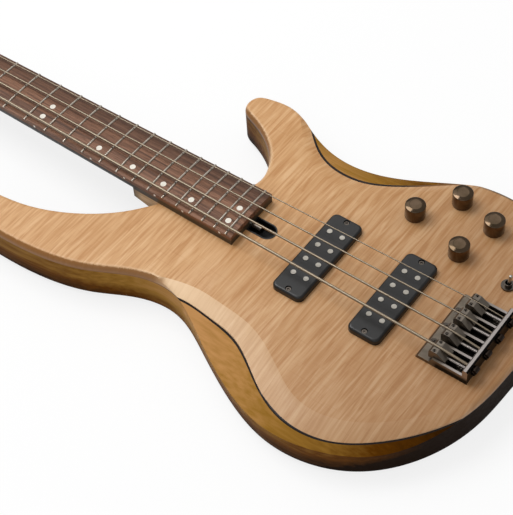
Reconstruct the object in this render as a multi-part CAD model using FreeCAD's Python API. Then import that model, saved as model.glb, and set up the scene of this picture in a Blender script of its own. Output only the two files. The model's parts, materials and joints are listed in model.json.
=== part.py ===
"""Four-string solid-body electric bass guitar, lying on its back.

Frame, in millimetres: the origin is on the flat back of the body, under the saddle line on the
centre line. +X runs to the tail, -X to the headstock, +Y to the treble side, +Z out of the face.
"""
import FreeCAD, Part
import math
import os

V = FreeCAD.Vector
X_AXIS = V(1, 0, 0)
Y_AXIS = V(0, 1, 0)
Z_AXIS = V(0, 0, 1)

# Strings: names from the thickest to the thinnest, and the scale that places frets and bridge
STRING_NAMES = ("e", "a", "d", "g")
STRING_DIAMETERS = (2.67, 2.16, 1.65, 1.14)
SCALE_LENGTH = 863.6
STRING_PITCH_BRIDGE = 19.0
STRING_PITCH_NUT = 10.2
FRET_COUNT = 24
ACTION_AT_NUT = 0.6
ACTION_AT_LAST_FRET = 2.2
STRING_EASE = 1.6

# Body: core, accent veneer and cap are layers of one blank
BODY_THICKNESS = 44.0
CAP_THICKNESS = 6.0
VENEER_THICKNESS = 1.2
TOP_EDGE_RADIUS = 5.0
BACK_EDGE_RADIUS = 8.0
FACE_CLEARANCE = 0.05
MOVING_CLEARANCE = 0.3
RUNNING_CLEARANCE = 0.05
BACK_RECESS = 0.3
BEVEL_FOOT = 13.2
SLOPE_DROP = 11.4
SCOOP_DROP = 17.4

# Neck and fretboard
BOARD_RISE = 12.0
BOARD_THICKNESS = 6.0
BOARD_RADIUS = 254.0
BOARD_OVERHANG = 6.5
BOARD_EDGE_MARGIN = 5.2
FRET_WIDTH = 2.4
FRET_TANG_WIDTH = 0.6
FRET_TANG_DEPTH = 1.6
DOT_RADIUS = 2.8
SIDE_DOT_RADIUS = 1.2
DOT_DEPTH = 1.5
NUT_LENGTH = 5.0
NECK_DEPTH_NUT = 14.5
NECK_DEPTH_HEEL = 17.0
POCKET_DEPTH = 16.0
HEEL_LENGTH = 88.0
HEEL_RAMP = 26.0
HEADSTOCK_DROP = 9.0
HEADSTOCK_THICKNESS = 14.0
HEADSTOCK_LENGTH = 195.0
HEADSTOCK_SCARF = 21.6
HEADSTOCK_FLARE = (16.0, 5.0)
HEADSTOCK_SHOULDER = 40.0
HEADSTOCK_EDGE = ((133.0, 45.0), (85.0, 44.5), (45.0, 40.0), (15.0, 31.0), (0.0, 8.0))
THROAT_RUN = 30.0
THROAT_RISE = 1.5
NECK_SCREW_RADIUS = 2.5
NECK_SCREW_HEAD = 4.3
NECK_SCREW_HEAD_RIM = 0.8
NECK_SCREW_GRIP = 14.0
NECK_SCREW_PLACES = ((14.0, -19.0), (14.0, 19.0), (58.0, -19.0), (37.0, 9.0))
FERRULE_RADIUS = 6.5
FERRULE_THICKNESS = 3.0

# Truss rod and its access cup
ROD_WIDTH = 6.0
ROD_HEIGHT = 8.0
ROD_DEPTH = 7.5
ROD_NUT_RADIUS = 4.0
ROD_NUT_LENGTH = 10.0
CUP_WIDTH = 18.0
CUP_LENGTH = 26.0
CUP_DEPTH = 12.0
CUP_WALL = 1.2
CUP_PROUD = 0.4
ROD_START = 8.0
ROD_SOCKET_RADIUS = 2.2
ROD_SOCKET_DEPTH = 3.9

# Pickups
CUP_TO_PICKUP = 30.15
BRIDGE_PICKUP_SETBACK = 59.5
PICKUP_LENGTH = 31.5
PICKUP_WIDTH = 97.5
PICKUP_RISE = 6.0
PICKUP_SUNK = 18.0
PICKUP_CORNER = 6.0
PICKUP_EDGE = 2.5
PICKUP_WALL = 1.5
PICKUP_ROOF = 2.0
PICKUP_END_WALL = 9.0
PICKUP_SCREW_INSET = 4.8
PICKUP_SCREW_SEAT = 2.2
POLE_RADIUS = 2.4
POLE_PITCH = 18.2
POLE_ROW_GAP = 13.3
POLE_PROUD = 0.4
COIL_END_GAP = 2.75
COIL_WIDTH = 11.0
COIL_HEIGHT = 11.0

# Controls
KNOB_PLACES = (("volume", -95.0, 89.0), ("blend", -68.0, 124.5),
               ("treble", -29.0, 113.5), ("bass", -40.0, 73.0))
KNOB_RADIUS = 9.4
KNOB_HEIGHT = 15.6
KNOB_BEVEL = 1.6
KNOB_CROWN = 3.0
SHAFT_RADIUS = 3.0
POT_RADIUS = 8.5
POT_HEIGHT = 9.0
POT_FLOOR = 2.0
BUSHING_RADIUS = 3.6
BUSHING_RISE = 3.0
WASHER_THICKNESS = 2.0
WASHER_RIM = 2.4
TOGGLE_PLACE = (12.5, 67.5)
TOGGLE_LEAN = 12.0
TOGGLE_CASE = (12.0, 8.0, 11.0)
TOGGLE_RISE = 5.0
TOGGLE_BORE = 1.9
TOGGLE_MOUTH = 3.0
TOGGLE_BORE_DEPTH = 6.0
LEVER_PROFILE = ((0, -5), (0.8, -5), (1.2, 0), (1.7, 14), (1.3, 15.4), (0, 15.8))
PREAMP_PLAN = (-62.0, -20.0, 68.0, 118.0)
PREAMP_THICKNESS = 1.6
CONTROL_CAVITY = ((-110, 68), (-110, 106), (-76, 139), (-22, 137), (4, 112), (27, 82), (27, 56),
                  (-52, 56))
CAVITY_ROOF = 9.5
CAVITY_CORNER = 8.0
COVER_LIP = 7.0
COVER_THICKNESS = 2.5
COVER_SCREW_REACH = 2.6
COVER_SCREW_SEAT = 1.5
JACK_X = -17.0
JACK_FLANGE = 2.5
JACK_SEAT_DEPTH = 1.0
JACK_END_WALL = 2.0
JACK_BORE_RADIUS = 3.2
JACK_BODY_RADIUS = 6.0
JACK_FLANGE_RADIUS = 10.0
JACK_LENGTH = 32.0
BATTERY_CENTRE = (3.0, -58.0)
BATTERY_SIZE = (48.5, 26.5, 17.5)
BATTERY_BOX_WALL = 1.5
BATTERY_GAP = 0.3
BATTERY_LIP = 6.0
BATTERY_FLOOR_GAP = 0.1
BATTERY_SCREW_REACH = 3.4

# Bridge
BRIDGE_FRONT = -13.0
BRIDGE_REAR = 36.0
BRIDGE_PLATE = 3.5
BRIDGE_LIP = 1.2
BRIDGE_BEVEL = 2.3
BRIDGE_WALL = 5.0
BRIDGE_WALL_RISE = 17.0
BRIDGE_WALL_BEVELS = (1.0, 1.5)
BRIDGE_RAIL_WIDTH = 2.2
BRIDGE_RAIL_GAP = 0.4
BRIDGE_RAIL_RISE = 9.0
BRIDGE_RAIL_START = 2.0
BRIDGE_RAIL_SLOPE = 3.0
BRIDGE_SCREW_INSET = 6.0
SADDLE_WIDTH = 13.6
SADDLE_FRONT = -2.5
SADDLE_LENGTH = 16.0
SADDLE_LIFT = 2.5
SADDLE_SHOULDER = 1.6
SADDLE_BEVEL = 2.0
SADDLE_CREST = 7.5
SADDLE_TAIL_RISE = 3.4
SADDLE_GROOVE_FALL = 0.62
SADDLE_REAR_TRAVEL = 3.0
INTONATION_RADIUS = 1.5
INTONATION_RISE = 6.6
INTONATION_HEAD = 2.3
INTONATION_HEAD_LENGTH = 2.4
INTONATION_SLOT = 0.8
INTONATION_SLOT_DEPTH = 1.1
HEIGHT_SCREW_RADIUS = 1.6
HEIGHT_SCREW_OFFSET = 5.0
HEIGHT_SCREW_INSET = 4.5
HEIGHT_SCREW_PROUD = 0.6
HEX_SOCKET_RADIUS = 0.85
HEX_SOCKET_DEPTH = 2.0
STRING_HOLE_RISE = 12.3
BALL_RADIUS = 2.5
BALL_LENGTH = 6.0
BRIDGE_SCREW_RADIUS = 1.7
BRIDGE_SCREW_LENGTH = 20.0
BRIDGE_SCREW_HEAD = 3.74

# Tuners: the posts' places are measured forward from the headstock's end
POST_PLACES = {"e": (133.0, -27.0), "a": (63.0, -25.0), "d": (63.0, 25.0), "g": (133.0, 27.0)}
POST_RADIUS = 5.0
POST_RISE = 17.0
POST_FLANGE = 1.6
POST_FLANGE_RISE = 2.0
POST_STEP = 0.5
POST_STEP_RISE = 3.2
POST_SLOT_WIDTH = 3.0
POST_SLOT_DEPTH = 4.0
POST_HOLE_RADIUS = 1.6
POST_HOLE_DEPTH = 9.0
BUSHING_WALL = 2.0
COLLAR_RADIUS = 9.0
COLLAR_RISE = 2.6
COLLAR_WASHER_RADIUS = 9.6
COLLAR_WASHER = 0.8
WINDING_TURNS = 2.5
WINDING_GAP = 0.6
WINDING_RISE = 4.2
WHEEL_RADIUS = 6.5
WHEEL_THICKNESS = 6.0
WORM_RADIUS = 3.2
WORM_SHAFT_RADIUS = 2.5
HOUSING_WALL = 1.5
HOUSING_DEPTH = 13.0
HOUSING_CORNER = 3.0
HOUSING_END_GAP = 0.5
HOUSING_SIDE_GAP = 1.5
HOUSING_SLEEVE = (4.4, 5.0)
EAR_REACH = 12.5
EAR_RADIUS = 5.0
EAR_THICKNESS = 1.6
WORM_END_GAP = 0.4
KEY_REACH = 50.0
KEY_LENGTH = 22.0
KEY_HEIGHT = 19.1
KEY_THICKNESS = 6.0
KEY_STEM = 4.0

# Strap buttons and small screws
STRAP_BUTTON_RADIUS = 7.0
STRAP_BUTTON_LENGTH = 13.0
STRAP_SEAT_DEPTH = 2.0
STRAP_SCREW_RADIUS = 2.3
STRAP_SCREW_LENGTH = 21.0
STRAP_SCREW_TAPER = 3.0
STRAP_FOOT = (6.4, 2.0)
STRAP_WAIST = (4.0, 4.0, 8.0)
STRAP_RIM = (10.0, 11.5)
STRAP_CROWN_RADIUS = 5.0
SMALL_SCREW_RADIUS = 1.4
SMALL_SCREW_HEAD = 2.8
SMALL_SCREW_LENGTH = 12.0
SMALL_SCREW_CROWN = 1.2
RECESS_WIDTH = 0.9
RECESS_DEPTH = 0.8

# The outline of the body, from the tail round the treble side, the two horns and the bass side
BODY_OUTLINE = (
    (59.5, 20), (50, 92), (20, 136.5), (-25, 155), (-80, 149), (-125, 130), (-180, 116),
    (-232, 125), (-262, 136.5), (-288, 134.5), (-298.6, 130.1), (-303, 119.5), (-298.6, 108.9),
    (-288, 103.5), (-262, 90), (-241, 68), (-235, 48), (-246, 22), (-288, -20), (-308, -45),
    (-349, -78.5), (-403, -99), (-436, -104), (-446.6, -108.4), (-451, -119), (-446.6, -129.6),
    (-436, -134), (-400, -137), (-351, -134), (-300, -120.5), (-262, -102.5), (-225, -97.5),
    (-180, -116), (-130, -142), (-86, -156), (-46, -155), (-2, -136), (34, -96), (55, -36))
OUTLINE_EDGES = 7

# The carved edges in plan, each between an inner line on the face and an outer line past the outline
BEVEL_INNER = ((-244, -106), (-222, -100), (-203, -98.5), (-181, -100.5), (-150, -106), (-113, -127.5),
               (-74, -146), (-36, -145), (8, -118), (34, -88), (55, -50))
BEVEL_OUTER = ((-252, -136), (-229, -130), (-210, -127), (-190, -127), (-162, -137), (-126, -156),
               (-84, -171), (-26, -166), (24, -131), (54, -97), (76, -52))
SLOPE_INNER = ((-270, -108), (-244, -95), (-220, -87.5), (-200, -85), (-180, -86), (-145, -90),
               (-100, -112), (-70, -127), (-40, -127), (-5, -110), (24, -82), (58, -36))
SLOPE_OUTER = ((-272, -124), (-248, -114), (-226, -113), (-207, -113.5), (-190, -117), (-163, -126),
               (-126, -146), (-80, -164), (-28, -160), (22, -129), (52, -98), (78, -50))
SCOOP_INNER = ((-262, 144), (-246, 126), (-229, 106), (-212, 91), (-194, 82.5), (-175, 79.5),
               (-155, 82), (-132, 93), (-106, 112), (-78, 136), (-48, 160))
SCOOP_OUTER = ((-250, 164), (-236, 150), (-220, 139), (-205, 131), (-190, 127), (-176, 127),
               (-161, 130), (-142, 138), (-118, 152), (-90, 170), (-58, 190))

# Derived places
TOP = BODY_THICKNESS
BOARD_TOP = TOP + BOARD_RISE
GLUE_PLANE = BOARD_TOP - BOARD_THICKNESS
BOARD_END = -SCALE_LENGTH / 2 ** (FRET_COUNT / 12) + BOARD_OVERHANG
NUT_FACE = -SCALE_LENGTH
NUT_BACK = NUT_FACE - NUT_LENGTH
HEEL_BOTTOM = TOP - POCKET_DEPTH
HEAD_TOP = GLUE_PLANE - HEADSTOCK_DROP
HEAD_BOTTOM = HEAD_TOP - HEADSTOCK_THICKNESS
HEAD_END = NUT_BACK - HEADSTOCK_LENGTH
PICKUP_CENTRES = (("neck", BOARD_END + CUP_LENGTH + CUP_TO_PICKUP + PICKUP_LENGTH / 2),
                  ("bridge", -BRIDGE_PICKUP_SETBACK))
COIL_LENGTH = PICKUP_WIDTH - 2 * (PICKUP_END_WALL + COIL_END_GAP)
FRET_HEIGHT = FRET_WIDTH / 2
ROD_AXIS_Z = GLUE_PLANE - ROD_DEPTH
PLATE_TOP = TOP + BRIDGE_PLATE
CAVITY_TOP = TOP - CAVITY_ROOF
BRIDGE_WIDTH = 3 * STRING_PITCH_BRIDGE + SADDLE_WIDTH + 2 * (BRIDGE_RAIL_GAP + BRIDGE_RAIL_WIDTH)


def box(x0, x1, y0, y1, z0, z1):
    """Upright box between two corners."""
    return Part.makeBox(x1 - x0, y1 - y0, z1 - z0, V(x0, y0, z0))


def rod(radius, start, direction, length):
    """Round bar from a start point along a direction."""
    return Part.makeCylinder(radius, length, start, direction)


def prism(points, z0, z1):
    """Upright prism on a polygon in plan."""
    corners = [V(x, y, z0) for x, y in points]
    return Part.Face(Part.makePolygon(corners + corners[:1])).extrude(V(0, 0, z1 - z0))


def upright_edges(shape):
    """Edges that run straight up, for rounding a plan's corners."""
    return [e for e in shape.Edges if e.BoundBox.XLength < 1e-6 and e.BoundBox.YLength < 1e-6]


def rounded_prism(points, z0, z1, radius):
    """Upright prism whose plan corners are rounded."""
    shape = prism(points, z0, z1)
    return shape.makeFillet(radius, upright_edges(shape))


def rectangle(cx, cy, length, width):
    """Corners of a rectangle in plan."""
    half_x = length / 2
    half_y = width / 2
    return ((cx - half_x, cy - half_y), (cx + half_x, cy - half_y),
            (cx + half_x, cy + half_y), (cx - half_x, cy + half_y))


def hexagon(cx, cy, radius):
    """Corners of a hexagon in plan."""
    turns = [math.pi * i / 3 for i in range(6)]
    return [(cx + radius * math.cos(a), cy + radius * math.sin(a)) for a in turns]


def stadium(cx, cy, length_x, width_y, z0, z1):
    """Upright prism with two half-round ends along Y."""
    radius = length_x / 2
    reach = width_y / 2 - radius
    shape = box(cx - radius, cx + radius, cy - reach, cy + reach, z0, z1)
    for side in (-1, 1):
        shape = shape.fuse(rod(radius, V(cx, cy + side * reach, z0), Z_AXIS, z1 - z0))
    return shape.removeSplitter()


def turned(profile, place, axis):
    """Solid of revolution: profile points are (radius, distance along the axis)."""
    points = [V(r, 0, h) for r, h in profile]
    shape = Part.Face(Part.makePolygon(points + points[:1])).revolve(V(0, 0, 0), Z_AXIS, 360)
    shape.Placement = FreeCAD.Placement(place, FreeCAD.Rotation(Z_AXIS, axis))
    return shape


def cut_all(shape, tools):
    """Cut a list of tools from a shape in one step."""
    return shape.cut(tools) if tools else shape


def spline_edge(points):
    """Smooth edge through points in space."""
    curve = Part.BSplineCurve()
    curve.interpolate([V(*p) for p in points])
    return curve.toShape()


def fret_x(number):
    """Place of a fret along the string; number 0 is the nut."""
    return -SCALE_LENGTH / 2 ** (number / 12)


def string_share(x):
    """0 at the bridge and 1 at the nut."""
    return -x / SCALE_LENGTH


def string_y(index, x):
    """Sideways place of a string at a place along it."""
    pitch = STRING_PITCH_BRIDGE + (STRING_PITCH_NUT - STRING_PITCH_BRIDGE) * string_share(x)
    return (index - (len(STRING_NAMES) - 1) / 2) * pitch


def radius_drop(y):
    """How far the board's round top falls away from its crown."""
    return BOARD_RADIUS - math.sqrt(BOARD_RADIUS ** 2 - y ** 2)


def string_underside(x):
    """Height of the strings' underside above the crown line, ignoring the board's radius."""
    at_nut = BOARD_TOP + FRET_HEIGHT + ACTION_AT_NUT
    last = string_share(fret_x(FRET_COUNT))
    rise = (ACTION_AT_LAST_FRET - ACTION_AT_NUT) / (1 - last)
    return at_nut + rise * (1 - string_share(x))


def string_point(index, x):
    """Centre of a string at a place between bridge and nut."""
    y = string_y(index, x)
    z = string_underside(x) - radius_drop(y) + STRING_DIAMETERS[index] / 2
    return V(x, y, z)


def board_half_width(x):
    """Half the fretboard's width: the outer string plus a margin."""
    return abs(string_y(0, x)) + BOARD_EDGE_MARGIN


def board_plan(x0, x1, grow=0.0):
    """Plan of the tapered neck between two places."""
    a = board_half_width(x0) + grow
    b = board_half_width(x1) + grow
    return ((x0, -a), (x1, -b), (x1, b), (x0, a))


# Body

def outline_wire():
    """The body's outline as one smooth closed curve, in a few edges."""
    curve = Part.BSplineCurve()
    curve.interpolate(Points=[V(x, y, 0) for x, y in BODY_OUTLINE], PeriodicFlag=True)
    first = curve.FirstParameter
    step = (curve.LastParameter - first) / OUTLINE_EDGES
    starts = [first + i * step for i in range(OUTLINE_EDGES)]
    return Part.Wire([curve.toShape(start, start + step) for start in starts])


def carve(inner, outer, inner_z, outer_z):
    """Waste above a sloping face between an inner and an outer line."""
    top_line = spline_edge([(x, y, inner_z) for x, y in inner])
    low_line = spline_edge([(x, y, outer_z) for x, y in outer])
    return Part.makeRuledSurface(top_line, low_line).extrude(V(0, 0, 2 * BODY_THICKNESS))


def forearm_bevel():
    """Broad bevel that bares the core along the bass side, from the waist to the tail."""
    return carve(BEVEL_INNER, BEVEL_OUTER, TOP - CAP_THICKNESS, BEVEL_FOOT)


def forearm_slope():
    """Gentle slope of the cap above the forearm bevel."""
    return carve(SLOPE_INNER, SLOPE_OUTER, TOP, TOP - SLOPE_DROP)


def treble_scoop():
    """Scooped edge at the treble waist, sloping through the cap into the core."""
    return carve(SCOOP_INNER, SCOOP_OUTER, TOP, TOP - SCOOP_DROP)


def body_blank():
    """Whole body with its rounded edges and carved bevels."""
    blank = Part.Face(outline_wire()).extrude(V(0, 0, BODY_THICKNESS))
    blank = blank.makeFillet(TOP_EDGE_RADIUS, [e for e in blank.Edges if e.BoundBox.ZMin > TOP - 1])
    blank = blank.makeFillet(BACK_EDGE_RADIUS, [e for e in blank.Edges if e.BoundBox.ZMax < 1])
    for tool in (forearm_bevel(), forearm_slope(), treble_scoop()):
        blank = blank.cut(tool)
    return blank


def body_holes():
    """Everything routed or drilled out of the body."""
    holes = [neck_pocket(), cup_rout(), cavity_rout(), cover_recess(), battery_rout(), jack_rout()]
    spare = 2 * FACE_CLEARANCE
    for _, x in PICKUP_CENTRES:
        grown = rectangle(x, 0, PICKUP_LENGTH + spare, PICKUP_WIDTH + spare)
        holes.append(rounded_prism(grown, TOP - PICKUP_SUNK, TOP + 1, PICKUP_CORNER))
    for _, x, y in KNOB_PLACES:
        holes.append(rod(BUSHING_RADIUS + FACE_CLEARANCE, V(x, y, 0), Z_AXIS, TOP + 1))
    holes.append(rod(BUSHING_RADIUS + FACE_CLEARANCE, V(*TOGGLE_PLACE, 0), Z_AXIS, TOP + 1))
    for x, y in neck_screw_points():
        holes.append(rod(NECK_SCREW_RADIUS + FACE_CLEARANCE, V(x, y, -1), Z_AXIS, TOP))
        holes.append(rod(FERRULE_RADIUS + FACE_CLEARANCE, V(x, y, -1), Z_AXIS, FERRULE_THICKNESS + 1))
    for x, y in bridge_screw_points():
        low = V(x, y, TOP - BRIDGE_SCREW_LENGTH)
        holes.append(rod(BRIDGE_SCREW_RADIUS + FACE_CLEARANCE, low, Z_AXIS, BRIDGE_SCREW_LENGTH + 1))
    for place, axis in small_screw_points():
        length = SMALL_SCREW_LENGTH + 1
        holes.append(rod(SMALL_SCREW_RADIUS + FACE_CLEARANCE, place, -axis, length))
    for place, axis in strap_points():
        holes.append(rod(STRAP_BUTTON_RADIUS, place, axis, STRAP_BUTTON_LENGTH))
        depth = STRAP_SCREW_LENGTH + 2
        holes.append(rod(STRAP_SCREW_RADIUS + FACE_CLEARANCE, place + axis, -axis, depth))
    return holes


def body_layers():
    """Core, accent veneer and cap, split out of the blank."""
    blank = cut_all(body_blank(), body_holes())
    under_cap = TOP - CAP_THICKNESS
    under_veneer = under_cap - VENEER_THICKNESS
    reach = blank.BoundBox.DiagonalLength
    slabs = (("body_core", -1, under_veneer), ("accent_veneer", under_veneer, under_cap),
             ("body_top", under_cap, TOP + 1))
    return {name: blank.common(box(-reach, reach, -reach, reach, low, high))
            for name, low, high in slabs}


# Neck

def neck_pocket():
    """Pocket that takes the neck's heel."""
    start = BOARD_END - HEEL_LENGTH - HEEL_RAMP
    plan = board_plan(start, BOARD_END + FACE_CLEARANCE, FACE_CLEARANCE)
    return prism(plan, HEEL_BOTTOM, TOP + 1)


def neck_section(x, depth):
    """Flat-topped half-oval section of the neck's back."""
    half = board_half_width(x)
    points = []
    for step in range(13):
        angle = math.pi * step / 12
        points.append(V(x, half * math.cos(angle), GLUE_PLANE - depth * math.sin(angle) ** 0.8))
    curve = Part.BSplineCurve()
    curve.interpolate(points)
    return Part.Wire([curve.toShape(), Part.makeLine(points[-1], points[0])])


def headstock_plate():
    """Headstock in plan, flaring from the nut to the posts and tapering to its end."""
    throat = board_half_width(NUT_BACK)
    reach, growth = HEADSTOCK_FLARE
    flare = (NUT_BACK - reach, throat + growth)
    rest = [(HEAD_END + along, across) for along, across in HEADSTOCK_EDGE]
    shoulder = ((flare[0] + rest[0][0]) / 2, HEADSTOCK_SHOULDER)
    edge = [(NUT_BACK, throat), flare, shoulder] + rest
    side = spline_edge([(x, y, HEAD_BOTTOM) for x, y in edge])
    other = spline_edge([(x, -y, HEAD_BOTTOM) for x, y in reversed(edge)])
    tip_x, tip_y = edge[-1]
    end = Part.makeLine(V(tip_x, tip_y, HEAD_BOTTOM), V(tip_x, -tip_y, HEAD_BOTTOM))
    throat_line = Part.makeLine(V(NUT_BACK, -throat, HEAD_BOTTOM), V(NUT_BACK, throat, HEAD_BOTTOM))
    face = Part.Face(Part.Wire([side, end, other, throat_line]))
    return face.extrude(V(0, 0, HEADSTOCK_THICKNESS))


def neck():
    """Neck, heel and headstock in one piece."""
    ramp_end = BOARD_END - HEEL_LENGTH
    ramp_start = ramp_end - HEEL_RAMP
    sections = [neck_section(NUT_BACK, NECK_DEPTH_NUT), neck_section(ramp_end, NECK_DEPTH_HEEL)]
    shaft = Part.makeLoft(sections, True, True)
    heel_side = [V(ramp_start, 0, GLUE_PLANE), V(ramp_start, 0, GLUE_PLANE - NECK_DEPTH_HEEL + 1),
                 V(ramp_end, 0, HEEL_BOTTOM), V(BOARD_END, 0, HEEL_BOTTOM), V(BOARD_END, 0, GLUE_PLANE)]
    heel = side_profile(heel_side, ramp_start, BOARD_END)
    throat_end = NUT_BACK - HEADSTOCK_SCARF
    throat_start = NUT_FACE + THROAT_RUN
    throat_side = [V(throat_start, 0, GLUE_PLANE), V(NUT_BACK, 0, GLUE_PLANE),
                   V(throat_end, 0, HEAD_TOP), V(throat_end, 0, HEAD_BOTTOM), V(NUT_BACK, 0, HEAD_BOTTOM),
                   V(throat_start, 0, GLUE_PLANE - NECK_DEPTH_NUT + THROAT_RISE)]
    throat = side_profile(throat_side, throat_end, throat_start)
    shape = shaft.fuse([heel, throat, headstock_plate()]).removeSplitter()
    holes = [truss_channel()]
    for name in STRING_NAMES:
        x, y = post_point(name)
        sleeve = POST_RADIUS + BUSHING_WALL + FACE_CLEARANCE
        holes.append(rod(sleeve, V(x, y, HEAD_BOTTOM - 1), Z_AXIS, HEADSTOCK_THICKNESS + 2))
    for x, y in neck_screw_points():
        low = V(x, y, HEEL_BOTTOM - 1)
        holes.append(rod(NECK_SCREW_RADIUS + FACE_CLEARANCE, low, Z_AXIS, NECK_SCREW_GRIP + 2))
    for place, axis in tuner_screw_points():
        holes.append(rod(SMALL_SCREW_RADIUS + FACE_CLEARANCE, place, -axis, SMALL_SCREW_LENGTH))
    return cut_all(shape, holes)


def side_profile(points, x0, x1):
    """Solid with a side profile, trimmed to the neck's tapered plan."""
    reach = 2 * board_half_width(x1)
    slab = Part.Face(Part.makePolygon(points + points[:1])).extrude(V(0, 2 * reach, 0))
    slab.translate(V(0, -reach, 0))
    return slab.common(prism(board_plan(x0, x1), HEAD_BOTTOM - 1, GLUE_PLANE + 1))


def fretboard():
    """Tapered board with a round top, fret slots and dot holes."""
    blank = prism(board_plan(NUT_FACE, BOARD_END), GLUE_PLANE, BOARD_TOP)
    axis_z = BOARD_TOP - BOARD_RADIUS
    blank = blank.common(rod(BOARD_RADIUS, V(NUT_FACE - 1, 0, axis_z), X_AXIS, BOARD_END - NUT_FACE + 2))
    half = FRET_TANG_WIDTH / 2 + FACE_CLEARANCE / 2
    slot_radius = BOARD_RADIUS - FRET_TANG_DEPTH - FACE_CLEARANCE
    tools = []
    for number in range(1, FRET_COUNT + 1):
        x = fret_x(number)
        floor = rod(slot_radius, V(x - half, 0, axis_z), X_AXIS, 2 * half)
        reach = 2 * board_half_width(x)
        slot = box(x - half, x + half, -reach, reach, GLUE_PLANE + 1, BOARD_TOP + 1)
        tools.append(slot.cut(floor))
    for place, axis, radius in dot_points():
        tools.append(rod(radius, place, -axis, DOT_DEPTH))
        tools.append(rod(radius, place, axis, DOT_DEPTH))
    return cut_all(blank, tools)


def fret(number):
    """One fret: round crown on a thin tang, bent to the board's radius."""
    x = fret_x(number)
    half = FRET_WIDTH / 2
    tang = FRET_TANG_WIDTH / 2
    sweep = math.degrees(math.asin((board_half_width(x) - FACE_CLEARANCE) / BOARD_RADIUS))
    z = BOARD_TOP + FACE_CLEARANCE / 2
    corners = [V(x - half, 0, z), V(x - tang, 0, z), V(x - tang, 0, BOARD_TOP - FRET_TANG_DEPTH),
               V(x + tang, 0, BOARD_TOP - FRET_TANG_DEPTH), V(x + tang, 0, z), V(x + half, 0, z)]
    crown = Part.Arc(corners[-1], V(x, 0, z + FRET_HEIGHT), corners[0]).toShape()
    face = Part.Face(Part.Wire(Part.makePolygon(corners).Edges + [crown]))
    axis_point = V(x, 0, BOARD_TOP - BOARD_RADIUS)
    face.rotate(axis_point, X_AXIS, -sweep)
    return face.revolve(axis_point, X_AXIS, 2 * sweep)


def dot_points():
    """Position dots on the board and small dots on its bass side: place, outward axis, radius."""
    dots = []
    singles = (3, 5, 7, 9, 15, 17, 19, 21)
    doubles = (12, 24)
    for number in sorted(singles + doubles):
        x = (fret_x(number) + fret_x(number - 1)) / 2
        pitch = string_y(1, x) - string_y(0, x)
        across = (-pitch, 0.0) if number in doubles else (-pitch,)
        for y in across:
            dots.append((V(x, y, BOARD_TOP - radius_drop(y)), Z_AXIS, DOT_RADIUS))
        edge = V(x, -board_half_width(x), GLUE_PLANE + 0.4 * BOARD_THICKNESS)
        dots.append((edge, -Y_AXIS, SIDE_DOT_RADIUS))
    return dots


def inlay_dots():
    """Discs let into the board, trimmed flush with its face and edge."""
    blank = prism(board_plan(NUT_FACE, BOARD_END), GLUE_PLANE, BOARD_TOP)
    crown = rod(BOARD_RADIUS, V(NUT_FACE, 0, BOARD_TOP - BOARD_RADIUS), X_AXIS, BOARD_END - NUT_FACE)
    blank = blank.common(crown)
    discs = []
    for place, axis, radius in dot_points():
        start = place - axis * (DOT_DEPTH - FACE_CLEARANCE)
        disc = rod(radius - FACE_CLEARANCE, start, axis, 2 * DOT_DEPTH)
        discs.append(disc.common(blank))
    return Part.makeCompound(discs)


def nut():
    """Nut with one slot for each string."""
    tops = [string_point(i, NUT_FACE).z for i in range(len(STRING_NAMES))]
    shape = prism(board_plan(NUT_BACK, NUT_FACE - FACE_CLEARANCE), GLUE_PLANE, max(tops) + 0.4)
    slots = []
    for index, diameter in enumerate(STRING_DIAMETERS):
        radius = diameter / 2 + FACE_CLEARANCE
        start = string_point(index, NUT_BACK - 1)
        end = string_point(index, NUT_FACE + 1)
        slots.append(rod(radius, start, end - start, (end - start).Length))
        wide = radius + 2 * FACE_CLEARANCE
        slots.append(box(start.x, end.x, start.y - wide, start.y + wide, start.z, start.z + NUT_LENGTH))
    return cut_all(shape, slots)


def neck_screw_points():
    """Places of the neck screws, measured back from the fretboard's end."""
    return [(BOARD_END - along, across) for along, across in NECK_SCREW_PLACES]


def neck_screws():
    """Long screws from the body's back into the heel."""
    low = BACK_RECESS + 2 * FACE_CLEARANCE
    screws = []
    for x, y in neck_screw_points():
        end = HEEL_BOTTOM + NECK_SCREW_GRIP
        profile = ((0, low), (NECK_SCREW_HEAD, low), (NECK_SCREW_HEAD, low + NECK_SCREW_HEAD_RIM),
                   (NECK_SCREW_RADIUS, FERRULE_THICKNESS), (NECK_SCREW_RADIUS, end), (0, end))
        screw = turned(profile, V(x, y, 0), Z_AXIS)
        screws.append(screw.cut(cross_recess(V(x, y, low), -Z_AXIS, NECK_SCREW_RADIUS)))
    return Part.makeCompound(screws)


def neck_ferrules():
    """Countersunk cups under the neck screws' heads, flush with the back."""
    cups = []
    for x, y in neck_screw_points():
        inner = NECK_SCREW_HEAD + FACE_CLEARANCE
        throat = NECK_SCREW_RADIUS + FACE_CLEARANCE
        rim = BACK_RECESS + NECK_SCREW_HEAD_RIM + 3 * FACE_CLEARANCE
        profile = ((inner, BACK_RECESS), (FERRULE_RADIUS, BACK_RECESS), (FERRULE_RADIUS, FERRULE_THICKNESS),
                   (throat, FERRULE_THICKNESS), (inner, rim))
        cups.append(turned(profile, V(x, y, 0), Z_AXIS))
    return Part.makeCompound(cups)


# Truss rod

def truss_channel():
    """Channel under the board for the truss rod."""
    half = ROD_WIDTH / 2 + FACE_CLEARANCE
    low = ROD_AXIS_Z - ROD_HEIGHT / 2 - FACE_CLEARANCE
    start = NUT_FACE + ROD_START - FACE_CLEARANCE
    return box(start, BOARD_END + 1, -half, half, low, GLUE_PLANE + 1)


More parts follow.
